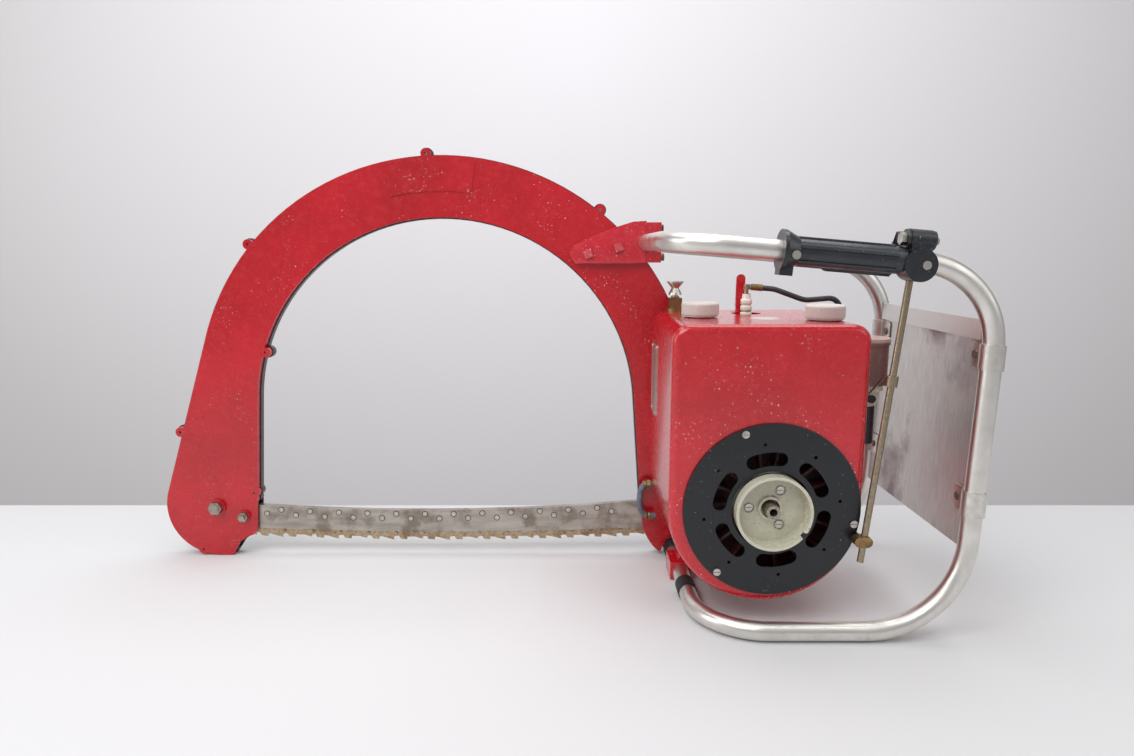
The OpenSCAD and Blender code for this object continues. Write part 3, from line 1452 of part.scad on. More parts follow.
// A two-lobed eye block round the rod's foot, held beside the housing by a lug on its wall
module rod_guide()
    color(brass)
        difference() {
            union() {
                slab(guide_at.y - 6.5, guide_at.y + 6.5) {
                    for (x = [2, 2 - guide_w]) translate([guide_at.x + x, guide_at.z]) circle(guide_r);
                    translate([guide_at.x + 2 - guide_w, guide_at.z - guide_r + inset])
                        square([guide_w, 2 * (guide_r - inset)]);
                }
                round_y(guide_lug, 3.4, guide_at.y, housing_front + 26);
            }
            bar_between(guide_at - rod_dir * 30, guide_at + rod_dir * 30, throttle_rod_r + fit);
            round_y(mid_c, housing_w / 2 + fit, housing_front - 1, housing_front + 40);
        }

// Heat shield, drawn in a frame that leans with the tube
lean = atan((frame_x - foot_x) / (top_end.z - low_z));
shield_z = [108, 367];
clip_z = [164, 328];

module on_end(z)
    translate([frame_x - (top_end.z - z) * tan(lean), 0, z]) rotate([0, lean, 0]) children();

module heat_shield()
    color(alloy)
        difference() {
            union() {
                on_end(shield_z[0]) translate([-shield_t, near_y + 14, 0])
                    cube([shield_t, far_y - near_y - 28, shield_z[1] - shield_z[0]]);
                on_end(shield_z[1] - 22) translate([-shield_t - 5, near_y + 14, 0])
                    difference() {
                        cube([6, far_y - near_y - 28, 22]);
                        translate([1.5, -1, -1]) cube([3.5 + eps, far_y - near_y - 20, 21.5]);
                    }
            }
            clip_holes(2.5 + fit);
        }

module clip_holes(r)
    for (z = clip_z)
        for (y = [near_y + 26, far_y - 26])
            on_end(z) translate([0, y, 0]) rotate([0, 90, 0]) cylinder(h = 60, r = r, center = true);

module shield_clamps()
    color(alloy)
        for (z = clip_z)
            for (s = [-1, 1]) {
                y = s < 0 ? near_y : far_y;
                on_end(z) difference() {
                    union() {
                        translate([0, y, -7]) cylinder(h = 14, r = tube_r + 1.8);
                        translate([0.01, s < 0 ? y : y - 34, -7]) cube([3, 34, 14]);
                    }
                    translate([0, y, -8]) cylinder(h = 16, r = tube_hole);
                    translate([0, y - s * 26, 0]) rotate([0, 90, 0])
                        cylinder(h = 60, r = 2.5 + fit, center = true);
                }
            }

module shield_bolts()
    color(steel)
        for (z = clip_z)
            for (y = [near_y + 26, far_y - 26])
                on_end(z) translate([0, y, 0]) rotate([0, 90, 0]) {
                    translate([0, 0, -shield_t - 4]) cylinder(h = 4, r = 5, $fn = 6);
                    translate([0, 0, -shield_t - 1]) cylinder(h = shield_t + 10, r = 2.5);
                    translate([0, 0, 3.1]) cylinder(h = 4, r = 5, $fn = 6);
                }

bow_cover();
bow_rear_plate();
bow_cover_screws();
bow_bracket();
bracket_clamp_cap();
bracket_bolts();
clamp_bolts();
nose_wheel();
nose_axle_bolt();
stud_nuts();
bar_near_plate();
bar_core_plate();
bar_far_plate();
bar_rivets();
bar_studs();
chain_drive_links();
chain_cutter_links();
tail_bolts();
engine_housing();
crankcase();
engine_cylinder();
muffler();
spark_plug();
plug_lead();
twin_tank();
fuel_cap();
oil_cap();
oiler_body();
oiler_plunger();
choke_lever();
flywheel();
crankshaft();
starter_cup();
starter_screws();
fan_cover();
fan_cover_screws();
magneto_coil();
pinion();
gear_case();
drive_gear();
sprocket_shaft();
sprocket();
carburettor();
air_cleaner();
float_bowl();
throttle_arm();
oil_hose();
near_tube();
far_tube();
sled_sleeves();
sled_clamp();
grip_near_half();
grip_far_half();
grip_screws();
throttle_trigger();
throttle_rod();
rod_guide();
heat_shield();
shield_clamps();
shield_bolts();
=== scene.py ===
import math

import bpy
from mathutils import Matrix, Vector


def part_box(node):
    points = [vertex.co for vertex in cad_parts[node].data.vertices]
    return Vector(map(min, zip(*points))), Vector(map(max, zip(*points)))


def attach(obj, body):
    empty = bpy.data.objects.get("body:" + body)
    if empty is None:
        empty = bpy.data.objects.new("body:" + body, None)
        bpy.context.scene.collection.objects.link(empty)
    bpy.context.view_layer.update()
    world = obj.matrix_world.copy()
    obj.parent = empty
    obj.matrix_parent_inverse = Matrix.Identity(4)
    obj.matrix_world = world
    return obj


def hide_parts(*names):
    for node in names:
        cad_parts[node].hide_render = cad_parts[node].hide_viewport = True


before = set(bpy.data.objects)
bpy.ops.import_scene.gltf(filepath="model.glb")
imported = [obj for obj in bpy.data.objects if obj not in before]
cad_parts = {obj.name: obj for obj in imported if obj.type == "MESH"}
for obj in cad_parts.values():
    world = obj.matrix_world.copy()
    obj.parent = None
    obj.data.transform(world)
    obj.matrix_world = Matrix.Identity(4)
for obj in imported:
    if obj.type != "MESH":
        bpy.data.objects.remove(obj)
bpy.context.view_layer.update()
scene = bpy.context.scene
bpy.ops.object.select_all(action="DESELECT")

# Places shared with the CAD, in metres: the bow's middle plane, the housing's left face, the tubes of the
# frame, the clips on its right end, and the lean of the grip's run and of the heat shield
BOW_Y = 0.11655
HOUSING_LEFT = 0.17404
NEAR_TUBE_Y = -0.14145
FAR_TUBE_Y = 0.15055
END_X = 0.51704
SLOPE = math.radians(4.857)
TOP_END_Z = 0.45200 - (END_X - 0.16404) * math.tan(SLOPE)
LEAN = math.atan(14 / 354)
CLIP_Z = (0.164, 0.328)
# Up from the grip's run of tube, along it, and the middle of the lever's boss on it
GRIP_UP = Vector((math.sin(SLOPE), 0, math.cos(SLOPE)))
GRIP_ALONG = Vector((math.cos(SLOPE), 0, -math.sin(SLOPE)))
BOSS = Vector((0.42402, NEAR_TUBE_Y, 0.42990))

# The photo's camera: its focal length over its width in pixels, and its place in front of the bow
FOCAL_PIXELS, PHOTO_PIXELS = 760, 1134
VIEW = (0.05604, BOW_Y - 1.069, 0.442)
LOOKING_DOWN = 9.56


def place_camera():
    """The photo's camera, as its perspective gives it."""
    data = bpy.data.cameras.new("camera")
    data.sensor_width = 36.0
    data.lens = data.sensor_width * FOCAL_PIXELS / PHOTO_PIXELS
    data.clip_end = 30
    camera = bpy.data.objects.new("camera", data)
    scene.collection.objects.link(camera)
    camera.location = VIEW
    camera.rotation_euler = (math.radians(90 - LOOKING_DOWN), 0, 0)
    scene.camera = camera


# Materials
def linear(code):
    """An sRGB hex colour as linear red, green, blue and alpha."""
    parts = [int(code[i : i + 2], 16) / 255 for i in (1, 3, 5)]
    return [c / 12.92 if c <= 0.04045 else ((c + 0.055) / 1.055) ** 2.4 for c in parts] + [1.0]


def add(tree, kind, inputs=None, **settings):
    """Adds one node; an input is a value or the socket that feeds it."""
    made = tree.nodes.new(kind)
    for key, value in settings.items():
        setattr(made, key, value)
    for key, value in (inputs or {}).items():
        if isinstance(value, bpy.types.NodeSocket):
            tree.links.new(value, made.inputs[key])
        else:
            made.inputs[key].default_value = value
    return made


def start_material(name):
    """An empty material, its nodes, and the object's own coordinates in metres."""
    material = bpy.data.materials.new(name)
    material.use_nodes = True
    tree = material.node_tree
    tree.nodes.clear()
    return material, tree, add(tree, "ShaderNodeTexCoord").outputs["Object"]


def finish_material(tree, shader, **sockets):
    """Sets constants on the shader's own sockets and joins it to the output."""
    for key, value in sockets.items():
        shader.inputs[key.replace("_", " ")].default_value = value
    out = add(tree, "ShaderNodeOutputMaterial")
    tree.links.new(shader.outputs[0], out.inputs["Surface"])


def grain(tree, place, size_mm, detail=3.0, roughness=0.55, stretch=None):
    """Noise whose blotches are about size_mm across; stretch draws them out along an axis."""
    if stretch:
        place = add(tree, "ShaderNodeMapping", {"Vector": place, "Scale": stretch}).outputs[0]
    settings = {"Vector": place, "Scale": 1000 / size_mm, "Detail": detail, "Roughness": roughness}
    return add(tree, "ShaderNodeTexNoise", settings).outputs[0]


def spread(tree, value, low, high, start=0.0, end=1.0):
    """Maps low..high of a value to start..end, and holds it outside."""
    return add(tree, "ShaderNodeMapRange", {"Value": value, 1: low, 2: high, 3: start, 4: end}).outputs[0]


def blend(tree, factor, first, second):
    """Mixes two colours, each a hex code or a socket."""
    ends = [linear(c) if isinstance(c, str) else c for c in (first, second)]
    return add(tree, "ShaderNodeMix", {"Factor": factor, 6: ends[0], 7: ends[1]}, data_type="RGBA").outputs[2]


def times(tree, first, second, kind="MULTIPLY"):
    """One value times another, or joined to it in another way."""
    return add(tree, "ShaderNodeMath", {0: first, 1: second}, operation=kind).outputs[0]


def past(tree, place, axis, start_mm, end_mm):
    """0 before start_mm along an axis of the object, rising to 1 at end_mm."""
    along = add(tree, "ShaderNodeSeparateXYZ", {0: place}).outputs[axis]
    return spread(tree, along, start_mm / 1000, end_mm / 1000)


def near_point(tree, place, point, size_mm):
    """1 at a point of the object, falling to 0 at size_mm from it."""
    gap = add(tree, "ShaderNodeVectorMath", {0: place, 1: point}, operation="DISTANCE").outputs["Value"]
    return spread(tree, gap, 0.0, size_mm / 1000, 1.0, 0.0)


def cast_enamel(
    name, coat, deep, faded, gloss=0.24, bare="#CFC4BE", chips=0.0, sand=0.22, rubbed=(), shine=0.35, zones=()
):
    """Gloss enamel over a sand casting: the sand shows as fine pits under a wet shine, the colour pools and
    fades over a hand's width, and small chips show the undercoat or have gone dark with oil. Zones are a
    colour and the axis, start and end in millimetres between which it takes over."""
    material, tree, place = start_material(name)
    pool = grain(tree, place, 110, 4.0)
    mottle = grain(tree, place, 9, 4.0, 0.65)
    colour = blend(tree, spread(tree, pool, 0.36, 0.64), deep, coat)
    colour = blend(tree, spread(tree, mottle, 0.5, 0.78, 0.0, 0.4), colour, faded)
    for tint, axis, start_mm, end_mm in zones:
        colour = blend(tree, past(tree, place, axis, start_mm, end_mm), colour, tint)
    # chips of 1 to 3 mm that come in crops
    crop = spread(tree, grain(tree, place, 60, 2.0), 0.46, 0.62, 0.0, 0.07 + chips)
    fleck = times(tree, grain(tree, place, 2.6, 2.0, 0.5), crop, "ADD")
    pale = spread(tree, fleck, 0.735, 0.755)
    colour = blend(tree, pale, colour, bare)
    speck = grain(tree, place, 1.8, 1.0, 0.5)
    colour = blend(tree, spread(tree, speck, 0.785, 0.8), colour, "#3A1518")
    worn = pale
    for point, size in rubbed:
        scuff = times(tree, near_point(tree, place, point, size), grain(tree, place, 5, 5.0, 0.7))
        scuff = spread(tree, scuff, 0.2, 0.28)
        colour = blend(tree, scuff, colour, bare)
        worn = times(tree, worn, scuff, "MAXIMUM")
    rough = spread(tree, mottle, 0.3, 0.75, gloss - 0.05, gloss + 0.12)
    rough = times(tree, rough, times(tree, worn, 0.3), "ADD")
    pits = grain(tree, place, 2.2, 3.0, 0.6)
    wave = grain(tree, place, 16, 2.0)
    relief = times(tree, times(tree, pits, 0.45), times(tree, wave, 0.8), "ADD")
    relief = times(tree, relief, times(tree, worn, 0.25), "SUBTRACT")
    bump = add(tree, "ShaderNodeBump", {"Strength": sand, "Distance": 0.0009, "Height": relief}).outputs[0]
    shader = add(tree, "ShaderNodeBsdfPrincipled", {"Base Color": colour, "Roughness": rough, "Normal": bump})
    finish_material(tree, shader, Coat_Weight=shine, Coat_Roughness=0.12)
    return material


def worked_metal(
    name, bright, dull, stain, rough=0.32, stain_from=0.6, marks_mm=8.0, stretch=None, crust=None, rise=0.1,
    cloud_mm=34.0, clear=None,
):
    """Bare metal: drawn, rolled or machined marks break up the shine, and dull stains creep over it. Crust is
    the colour of rust in patches; clear is the axis, start and end past which the metal is painted bright and
    free of stains, a painted highlight as well as cleaner metal."""
    material, tree, place = start_material(name)
    marks = grain(tree, place, marks_mm, 4.0, 0.6, stretch)
    tone = blend(tree, spread(tree, marks, 0.3, 0.7), bright, dull)
    cloud = grain(tree, place, cloud_mm, 5.0, 0.6)
    spots = spread(tree, cloud, stain_from, stain_from + 0.16)
    # past the band the colour is painted bright with no stains: a painted highlight on the fold, and cleaner
    # metal
    if clear:
        open_part = spread(tree, past(tree, place, *clear), 0.0, 1.0, 1.0, 0.0)
        spots = times(tree, spots, open_part)
        tone = blend(tree, open_part, bright, tone)
    colour = blend(tree, times(tree, spots, 0.8), tone, stain)
    metal = spread(tree, spots, 0.0, 1.0, 1.0, 0.55)
    if crust:
        rust = spread(tree, grain(tree, place, 5, 5.0, 0.7), 0.56, 0.64)
        colour = blend(tree, rust, colour, crust)
        metal = times(tree, metal, spread(tree, rust, 0.0, 1.0, 1.0, 0.25))
    polish = spread(tree, marks, 0.3, 0.7, rough - 0.06, rough + 0.1)
    polish = times(tree, polish, times(tree, spots, 0.16), "ADD")
    bump = add(tree, "ShaderNodeBump", {"Strength": rise, "Distance": 0.0004, "Height": marks}).outputs[0]
    shader = add(
        tree, "ShaderNodeBsdfPrincipled",
        {"Base Color": colour, "Metallic": metal, "Roughness": polish, "Normal": bump},
    )
    finish_material(tree, shader)
    return material


def moulded_rubber(name, colour, dust, rough=0.55):
    """Rubber or a cotton sheath: a soft dull surface with dust lying in its grain."""
    material, tree, place = start_material(name)
    film = spread(tree, grain(tree, place, 14, 5.0, 0.7), 0.45, 0.75, 0.0, 0.7)
    bump = add(
        tree, "ShaderNodeBump", {"Strength": 0.2, "Distance": 0.0004, "Height": grain(tree, place, 1.6)}
    ).outputs[0]
    shader = add(
        tree, "ShaderNodeBsdfPrincipled",
        {
            "Base Color": blend(tree, film, colour, dust), "Normal": bump,
            "Roughness": spread(tree, film, 0.0, 0.7, rough - 0.1, rough + 0.15),
        },
    )
    finish_material(tree, shader)
    return material


# Gloss red enamel brushed on the castings: a wet shine over sand pits; a scuffed patch on the lid between the
# two filler caps
red_enamel = cast_enamel(
    "gloss_red_enamel", "#C10D1F", "#AD0715", "#C92A38", chips=-0.01, shine=0.6,
    rubbed=[((0.297, -0.026, 0.361), 34)],
)
# A thicker coat on the bow's bracket, a shade pinker where it has faded
bracket_enamel = cast_enamel(
    "gloss_red_enamel_on_bracket", "#C61B2E", "#B81425", "#D2485A", chips=-0.03, sand=0.16, shine=0.6
)
# The same enamel on the bracket's square nuts, painted paler all over: a painted highlight for their bright,
# spanner-worn edges
nut_enamel_painted_highlight = cast_enamel(
    "red_enamel_painted_pale_on_nuts", "#D2525C", "#B22A36", "#E89A9D", gloss=0.3, chips=0.01, sand=0.3, shine=0.6
)
# Gloss red enamel on the bow's coarser casting, which breaks the shine up
red_bow_enamel = cast_enamel(
    "gloss_red_enamel_on_bow", "#BD0E1F", "#A90816", "#C62736", sand=0.5, chips=-0.01
)
# Blue-black stoving enamel, satin and almost smooth, on the fan's pressed guard
guard_enamel = cast_enamel(
    "blue_black_stoving_enamel", "#0D1118", "#090C12", "#1A1F27", gloss=0.32, bare="#84888C", sand=0.12,
    chips=-0.02, shine=0.1,
)
# Black enamel on the grip castings, worn by the hand to a soft shine
grip_enamel = cast_enamel(
    "worn_black_grip_enamel", "#1B1F27", "#13161C", "#2F343D", gloss=0.32, bare="#77797C", sand=0.3, shine=0.3
)
# Black enamel gone grey on the bow's rear half, with few chips
plate_enamel = cast_enamel(
    "black_plate_enamel", "#24262A", "#1A1C20", "#33353A", gloss=0.36, bare="#5C5B59", sand=0.2, chips=-0.02
)
# Cream-green enamel on the starter cup, stained brown round the crank
cream_enamel = cast_enamel(
    "cream_green_enamel", "#CFCDBA", "#BDB9A4", "#DAD9CB", gloss=0.24, bare="#7A6A56", sand=0.12,
    rubbed=[((0.2935, -0.096, 0.150), 24)],
)
# Cream enamel on the carburettor's body, dulled by an oily film
carburettor_enamel = cast_enamel(
    "oily_cream_enamel", "#CFCAB6", "#B9B29C", "#DAD6C6", gloss=0.34, bare="#7A6A56", sand=0.2, chips=0.02
)
# Red-brown baked enamel on the air cleaner's can, faded to pink on its lid
brown_enamel = cast_enamel(
    "baked_brown_enamel", "#76504A", "#613F3A", "#93706A", gloss=0.36, bare="#A39C96", sand=0.15, chips=0.02,
    zones=[("#B8968F", "Z", 329, 331)],
)
# Drawn aluminium tube: bright satin, with long faint clouds of handling
tube_alloy = worked_metal(
    "drawn_aluminium_tube", "#E4E1DC", "#D3CFC9", "#B3ABA1", rough=0.33, stain_from=0.62, marks_mm=30,
    rise=0.02,
)
# Rolled aluminium sheet: satin, with fine marks up and down and purple-brown heat stains a hand across; its
# # folded top band is painted bright and free of stains, a painted highlight where the fold catches the light
# as well as cleaner metal
sheet_alloy = worked_metal(
    "heat_stained_aluminium_sheet", "#DAD6D2", "#CBC6C2", "#8F7C82", rough=0.36, stain_from=0.5, marks_mm=2.5,
    stretch=(1.0, 1.0, 0.1), cloud_mm=95, rise=0.03, clear=("Z", 344, 345),
)
# Aluminium strip bent cold: paler than the sheet, dull where it is gripped
clip_alloy = worked_metal(
    "bent_aluminium_strip", "#E0DDD7", "#CBC7C0", "#A0968A", rough=0.34, stain_from=0.58
)
# Unpainted aluminium casting: grey, with a coarse grain that scatters the light
cast_alloy = worked_metal(
    "cast_aluminium", "#C4C0BB", "#A5A19B", "#7C756D", rough=0.48, stain_from=0.6, marks_mm=3, rise=0.25
)
# Die-cast filler caps gone chalky with age
chalky_cap = cast_enamel(
    "chalky_die_casting", "#DED6D0", "#CBC3BC", "#EAE4DF", gloss=0.5, bare="#7A746C", sand=0.4, shine=0.0
)
# Old saw steel: grey-brown, marked along its length, with darker clouds of dried oil
saw_plate = worked_metal(
    "old_saw_steel", "#C0BAB1", "#A19A91", "#7A6D60", rough=0.36, stain_from=0.5, marks_mm=10,
    stretch=(0.2, 1, 1),
)
# Saw teeth: straw-coloured steel with spots of rust
tooth_steel = worked_metal(
    "rusty_tooth_steel", "#C6B598", "#A39077", "#83664B", rough=0.4, stain_from=0.52, marks_mm=4,
    crust="#8A6540",
)
# Zinc-plated nuts and bolts, dull, with rust where the plating has gone
bolt_steel = worked_metal(
    "zinc_plated_steel", "#B9B2A6", "#938A7E", "#6E543F", rough=0.38, stain_from=0.54, marks_mm=3,
    crust="#7C5A41",
)
# Bolts rusted all over, brown and rough
rusty_bolt = worked_metal(
    "rusted_bolt_steel", "#8F7C6C", "#735E4E", "#5B4234", rough=0.5, stain_from=0.48, marks_mm=3,
    crust="#6E472F",
)
# Nickel plate on screws, rivets and the oiler's knob: the brightest points
screw_steel = worked_metal("nickel_plated_screw", "#CFCBC3", "#B3AEA5", "#857A6D", rough=0.3, stain_from=0.6)
# Steel blackened by oil and heat
dark_steel = worked_metal("oiled_dark_steel", "#4A4744", "#353230", "#5A4636", rough=0.45, stain_from=0.6)
# Brass gone brown, with a dull gleam
old_brass = worked_metal("tarnished_brass", "#A98C60", "#80694A", "#57493A", rough=0.4, stain_from=0.54)
# Round bar once plated, now the colour of weak brass
rod_steel = worked_metal(
    "brass_coloured_rod_steel", "#A89A84", "#8B7D69", "#6A5846", rough=0.34, stain_from=0.56, marks_mm=4
)
# Lacquered cotton over rubber on the plug's lead, grey with dust
cable_black = moulded_rubber("black_cable_sheath", "#1A1C20", "#3C3E42")
# Dark red-brown on the flywheel's casting, seen through the guard's slots: painted shade standing in for the
# shadowed red inside of the housing
flywheel_painted_shade = cast_enamel(
    "dark_red_flywheel_painted_shade", "#542A2B", "#3F1D1E", "#6A4140", gloss=0.4, bare="#6E625C", sand=0.4, shine=0.0
)
# Grey-blue rubber hose with a bloom on it
hose_rubber = moulded_rubber("grey_blue_hose_rubber", "#59616B", "#7C828A", 0.5)
# Black rubber sleeves, matt and dusty
sleeve_black = moulded_rubber("black_rubber_sleeve", "#15171A", "#3A3C3F", 0.66)
# Glazed white ceramic with a hard shine
ceramic = cast_enamel(
    "glazed_ceramic", "#E6E1D8", "#D6D0C4", "#EFEBE4", gloss=0.16, bare="#9A8B76", sand=0.05, shine=0.5
)
# The plug under and over its ribs, plated shell below and brass terminal above, in one brass-coloured finish
plug_shell = worked_metal("plated_plug_shell", "#B9A27C", "#8F7D62", "#5E4F40", rough=0.36, marks_mm=4)
# Bright etched plate, dulled
plate_alloy = worked_metal("dulled_alloy_plate", "#C9C5BE", "#AFAAA2", "#8A8276", rough=0.34, marks_mm=12)
# Dried oil and dirt held round the rivet heads
rivet_stain = cast_enamel(
    "dried_oil_stain", "#4E4740", "#3E3833", "#6E665C", gloss=0.45, bare="#857B6F", sand=0.2, shine=0.0
)

finishes = {
    bracket_enamel: ["bow_bracket", "bracket_clamp_cap"],
    red_enamel: ["engine_housing", "choke_lever", "sled_clamp"],
    nut_enamel_painted_highlight: ["bracket_bolts"],
    red_bow_enamel: ["bow_cover"],
    plate_enamel: ["bow_rear_plate"],
    guard_enamel: ["fan_cover"],
    grip_enamel: ["grip_near_half", "grip_far_half", "throttle_trigger", "float_bowl"],
    tube_alloy: ["near_tube", "far_tube"],
    sheet_alloy: ["heat_shield"],
    clip_alloy: ["shield_clamps"],
    cast_alloy: ["crankcase", "engine_cylinder", "twin_tank", "gear_case"],
    flywheel_painted_shade: ["flywheel"],
    chalky_cap: ["fuel_cap", "oil_cap"],
    saw_plate: ["bar_near_plate", "bar_core_plate", "bar_far_plate"],
    tooth_steel: ["chain_drive_links", "chain_cutter_links"],
    old_brass: ["oiler_body", "rod_guide"],
    rod_steel: ["throttle_rod"],
    cream_enamel: ["starter_cup"],
    carburettor_enamel: ["carburettor"],
    brown_enamel: ["air_cleaner"],
    dark_steel: ["muffler", "magneto_coil", "throttle_arm"],
    rusty_bolt: ["shield_bolts", "clamp_bolts"],
    screw_steel: ["fan_cover_screws", "grip_screws", "starter_screws", "bar_rivets", "oiler_plunger"],
    cable_black: ["plug_lead"],
    hose_rubber: ["oil_hose"],
    sleeve_black: ["sled_sleeves"],
    plug_shell: ["spark_plug"],
}
finish_of = {name: material for material, names in finishes.items() for name in names}
for name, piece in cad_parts.items():
    piece.data.materials.clear()
    piece.data.materials.append(finish_of.get(name, bolt_steel))


# Pieces too fine for the castings' source, modelled on them where the photo shows them
def start_piece(primitive, name, **settings):
    """Adds a primitive at its place, alone in the selection."""
    bpy.ops.object.select_all(action="DESELECT")
    primitive(**settings)
    piece = bpy.context.object
    piece.name = piece.data.name = name
    return piece


def choose(piece, kind, test):
    """Opens the piece for editing with only the corners, edges or faces that pass the test selected."""
    if piece.mode == "EDIT":
        bpy.ops.object.mode_set(mode="OBJECT")
    scene.tool_settings.mesh_select_mode = (kind == "vertices", kind == "edges", kind == "polygons")
    mesh = piece.data
    for part in (mesh.vertices, mesh.edges, mesh.polygons):
        part.foreach_set("select", [False] * len(part))
    for part in getattr(mesh, kind):
        part.select = test(part)
    bpy.ops.object.mode_set(mode="EDIT")


def settle(piece, body, material, smooth=35):
    """Ends the editing: place into the mesh, finish, body."""
    if piece.mode == "EDIT":
        bpy.ops.object.mode_set(mode="OBJECT")
    bpy.ops.object.transform_apply(location=True, rotation=True, scale=True)
    bpy.ops.object.shade_smooth_by_angle(angle=math.radians(smooth))
    piece.data.materials.clear()
    piece.data.materials.append(material)
    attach(piece, body)
    piece.select_set(False)


def copies(piece, body, shifts):
    """Copies a settled piece, each with its own mesh, moved by each shift."""
    for i, shift in enumerate(shifts):
        mesh = piece.data.copy()
        twin = bpy.data.objects.new(f"{piece.name}_{i + 2}", mesh)
        scene.collection.objects.link(twin)
        for corner in mesh.vertices:
            corner.co += Vector(shift)
        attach(twin, body)


def turned(name, foot, rings, sides=32, turn=(0, 0, 0)):
    """A round piece pulled up ring by ring, each a radius and a height over its foot; turn leans it."""
    radius, height = rings[0]
    piece = start_piece(
        bpy.ops.mesh.primitive_circle_add, name, vertices=sides, radius=radius, fill_type="NGON",
        location=foot,
    )
    bpy.ops.object.mode_set(mode="EDIT")
    bpy.ops.mesh.select_all(action="SELECT")
    bpy.ops.transform.translate(value=(0, 0, height))
    for wider, higher in rings[1:]:
        bpy.ops.mesh.extrude_region_move(TRANSFORM_OT_translate={"value": (0, 0, higher - height)})
        bpy.ops.transform.resize(value=(wider / radius, wider / radius, 1), center_override=(*foot[:2], 0))
        radius, height = wider, higher
    bpy.ops.mesh.select_all(action="SELECT")
    bpy.ops.mesh.normals_make_consistent(inside=False)
    bpy.ops.object.mode_set(mode="OBJECT")
    piece.rotation_euler = [math.radians(a) for a in turn]
    return piece


def merged_copy(node, name):
    """A copy of a CAD node's mesh as one closed skin, ready to be edited."""
    piece = bpy.data.objects.new(name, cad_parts[node].data.copy())
    scene.collection.objects.link(piece)
    bpy.ops.object.select_all(action="DESELECT")
    piece.select_set(True)
    bpy.context.view_layer.objects.active = piece
    choose(piece, "vertices", lambda corner: True)
    bpy.ops.mesh.remove_doubles(threshold=0.00001)
    return piece


def head_places(node, near_side):
    """The middles of a node's round heads, from the corners on the side of them that faces out."""
    low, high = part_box(node)
    rim = low.y if near_side else high.y
    spots = []
    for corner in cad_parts[node].data.vertices:
        if abs(corner.co.y - rim) < 0.0002:
            for spot in spots:
                if abs(spot[0].x - corner.co.x) < 0.012 and abs(spot[0].z - corner.co.z) < 0.012:
                    spot.append(corner.co)
                    break
            else:
                spots.append([corner.co])
    return [
        Vector(((min(c.x for c in spot) + max(c.x for c in spot)) / 2, rim,
                (min(c.z for c in spot) + max(c.z for c in spot)) / 2))
        for spot in spots
    ]


def through(piece, edge):
    """True for an edge that runs along X, through the thickness of a plate."""
    ends = [piece.data.vertices[i].co for i in edge.vertices]
    return abs((ends[0] - ends[1]).x) > 0.001


def maker_plate():
    """The blank plate on the housing's left face, with a rolled rim and four domed rivets."""
    thick, wide, tall = 0.0018, 0.050, 0.095
    y, z = 0.0566, 0.2715
    piece = start_piece(
        bpy.ops.mesh.primitive_cube_add, "blank_side_plate", size=1, location=(HOUSING_LEFT - 0.0004, y, z)
    )
    piece.scale = (thick, wide, tall)
    bpy.ops.object.transform_apply(location=False, rotation=False, scale=True)
    choose(piece, "edges", lambda edge: through(piece, edge))
    bpy.ops.mesh.bevel(offset=0.004, segments=5)
    choose(piece, "polygons", lambda face: face.normal.x < -0.9)
    bpy.ops.mesh.inset(thickness=0.0016)
    bpy.ops.mesh.inset(thickness=0.0008, depth=-0.0005)
    settle(piece, "saw", plate_alloy, 25)
    across, up = 0.041, 0.086
    dome = [(0.0022, 0), (0.0022, 0.0004), (0.0019, 0.0009), (0.0013, 0.0013), (0.0005, 0.0015)]
    foot = (HOUSING_LEFT - 0.0006, y - across / 2, z - up / 2)
    rivet = turned("side_plate_rivet", foot, dome, 16, (0, -90, 0))
    settle(rivet, "saw", screw_steel)
    copies(rivet, "saw", [(0, across, 0), (0, 0, up), (0, across, up)])


def rivet_rings():
    """A stained ring of dried oil round each of the bar's rivet heads."""
    for side, turn, near_side in (("near", 90, True), ("far", -90, False)):
        low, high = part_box("bar_near_plate" if near_side else "bar_far_plate")
        face = low.y if near_side else high.y
        places = head_places("bar_rivets", near_side)
        first = turned(
            f"bar_rivet_stain_{side}", (places[0].x, face, places[0].z),
            [(0.0046, -0.0002), (0.0045, 0.0002), (0.0036, 0.00035)], 20, (turn, 0, 0),
        )
        settle(first, "saw", rivet_stain)
        copies(first, "saw", [place - places[0] for place in places[1:]])


def plug_ribs():
    """The spark plug's glazed insulator with its three fat ribs."""
    x, y, terminal_z = 0.29104, 0.04655, 0.3944
    rings = [(0.0064, 0.3525)]
    for foot in (0.355, 0.3635, 0.372):
        rings += [
            (0.0064, foot), (0.0070, foot + 0.0006), (0.0074, foot + 0.0016), (0.0074, foot + 0.0056),
            (0.0070, foot + 0.0066), (0.0060, foot + 0.0070),
        ]
    rings += [(0.0058, 0.3805), (0.0052, 0.3855)]
    settle(turned("plug_insulator_ribs", (x, y, 0), rings), "saw", ceramic, 50)
    # the coiled spring that guards the lead where it leaves the terminal
    coil = [(0.0040, 0.0)]
    for i in range(7):
        foot = i * 0.0021
        turn = [(0.0041, 0.0002), (0.0047, 0.0008), (0.0047, 0.0013), (0.0041, 0.0019)]
        coil += [(radius, foot + height) for radius, height in turn]
    spring = turned("plug_lead_spring", (x + 0.0058, y - 0.0003, terminal_z), coil, 24, (0, 94, -13))
    settle(spring, "saw", old_brass)


def throttle_lever():
    """The lever, a copy of the CAD's with its paddle lifted behind the grip, where the photo hides it."""
    piece = merged_copy("throttle_trigger", "throttle_lever")
    choose(piece, "vertices", lambda corner: (corner.co - BOSS).dot(GRIP_UP) < -0.0105)
    bpy.ops.transform.translate(value=GRIP_UP * 0.017)

    def upper_corner(corner):
        reach = corner.co - BOSS
        return reach.dot(GRIP_ALONG) < -0.0165 and reach.dot(GRIP_UP) > 0.030

    # the back plate's upper corner slopes down behind the barrel
    choose(piece, "vertices", upper_corner)
    bpy.ops.transform.translate(value=GRIP_UP * -0.012)
    settle(piece, "trigger", grip_enamel)
    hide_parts("throttle_trigger")


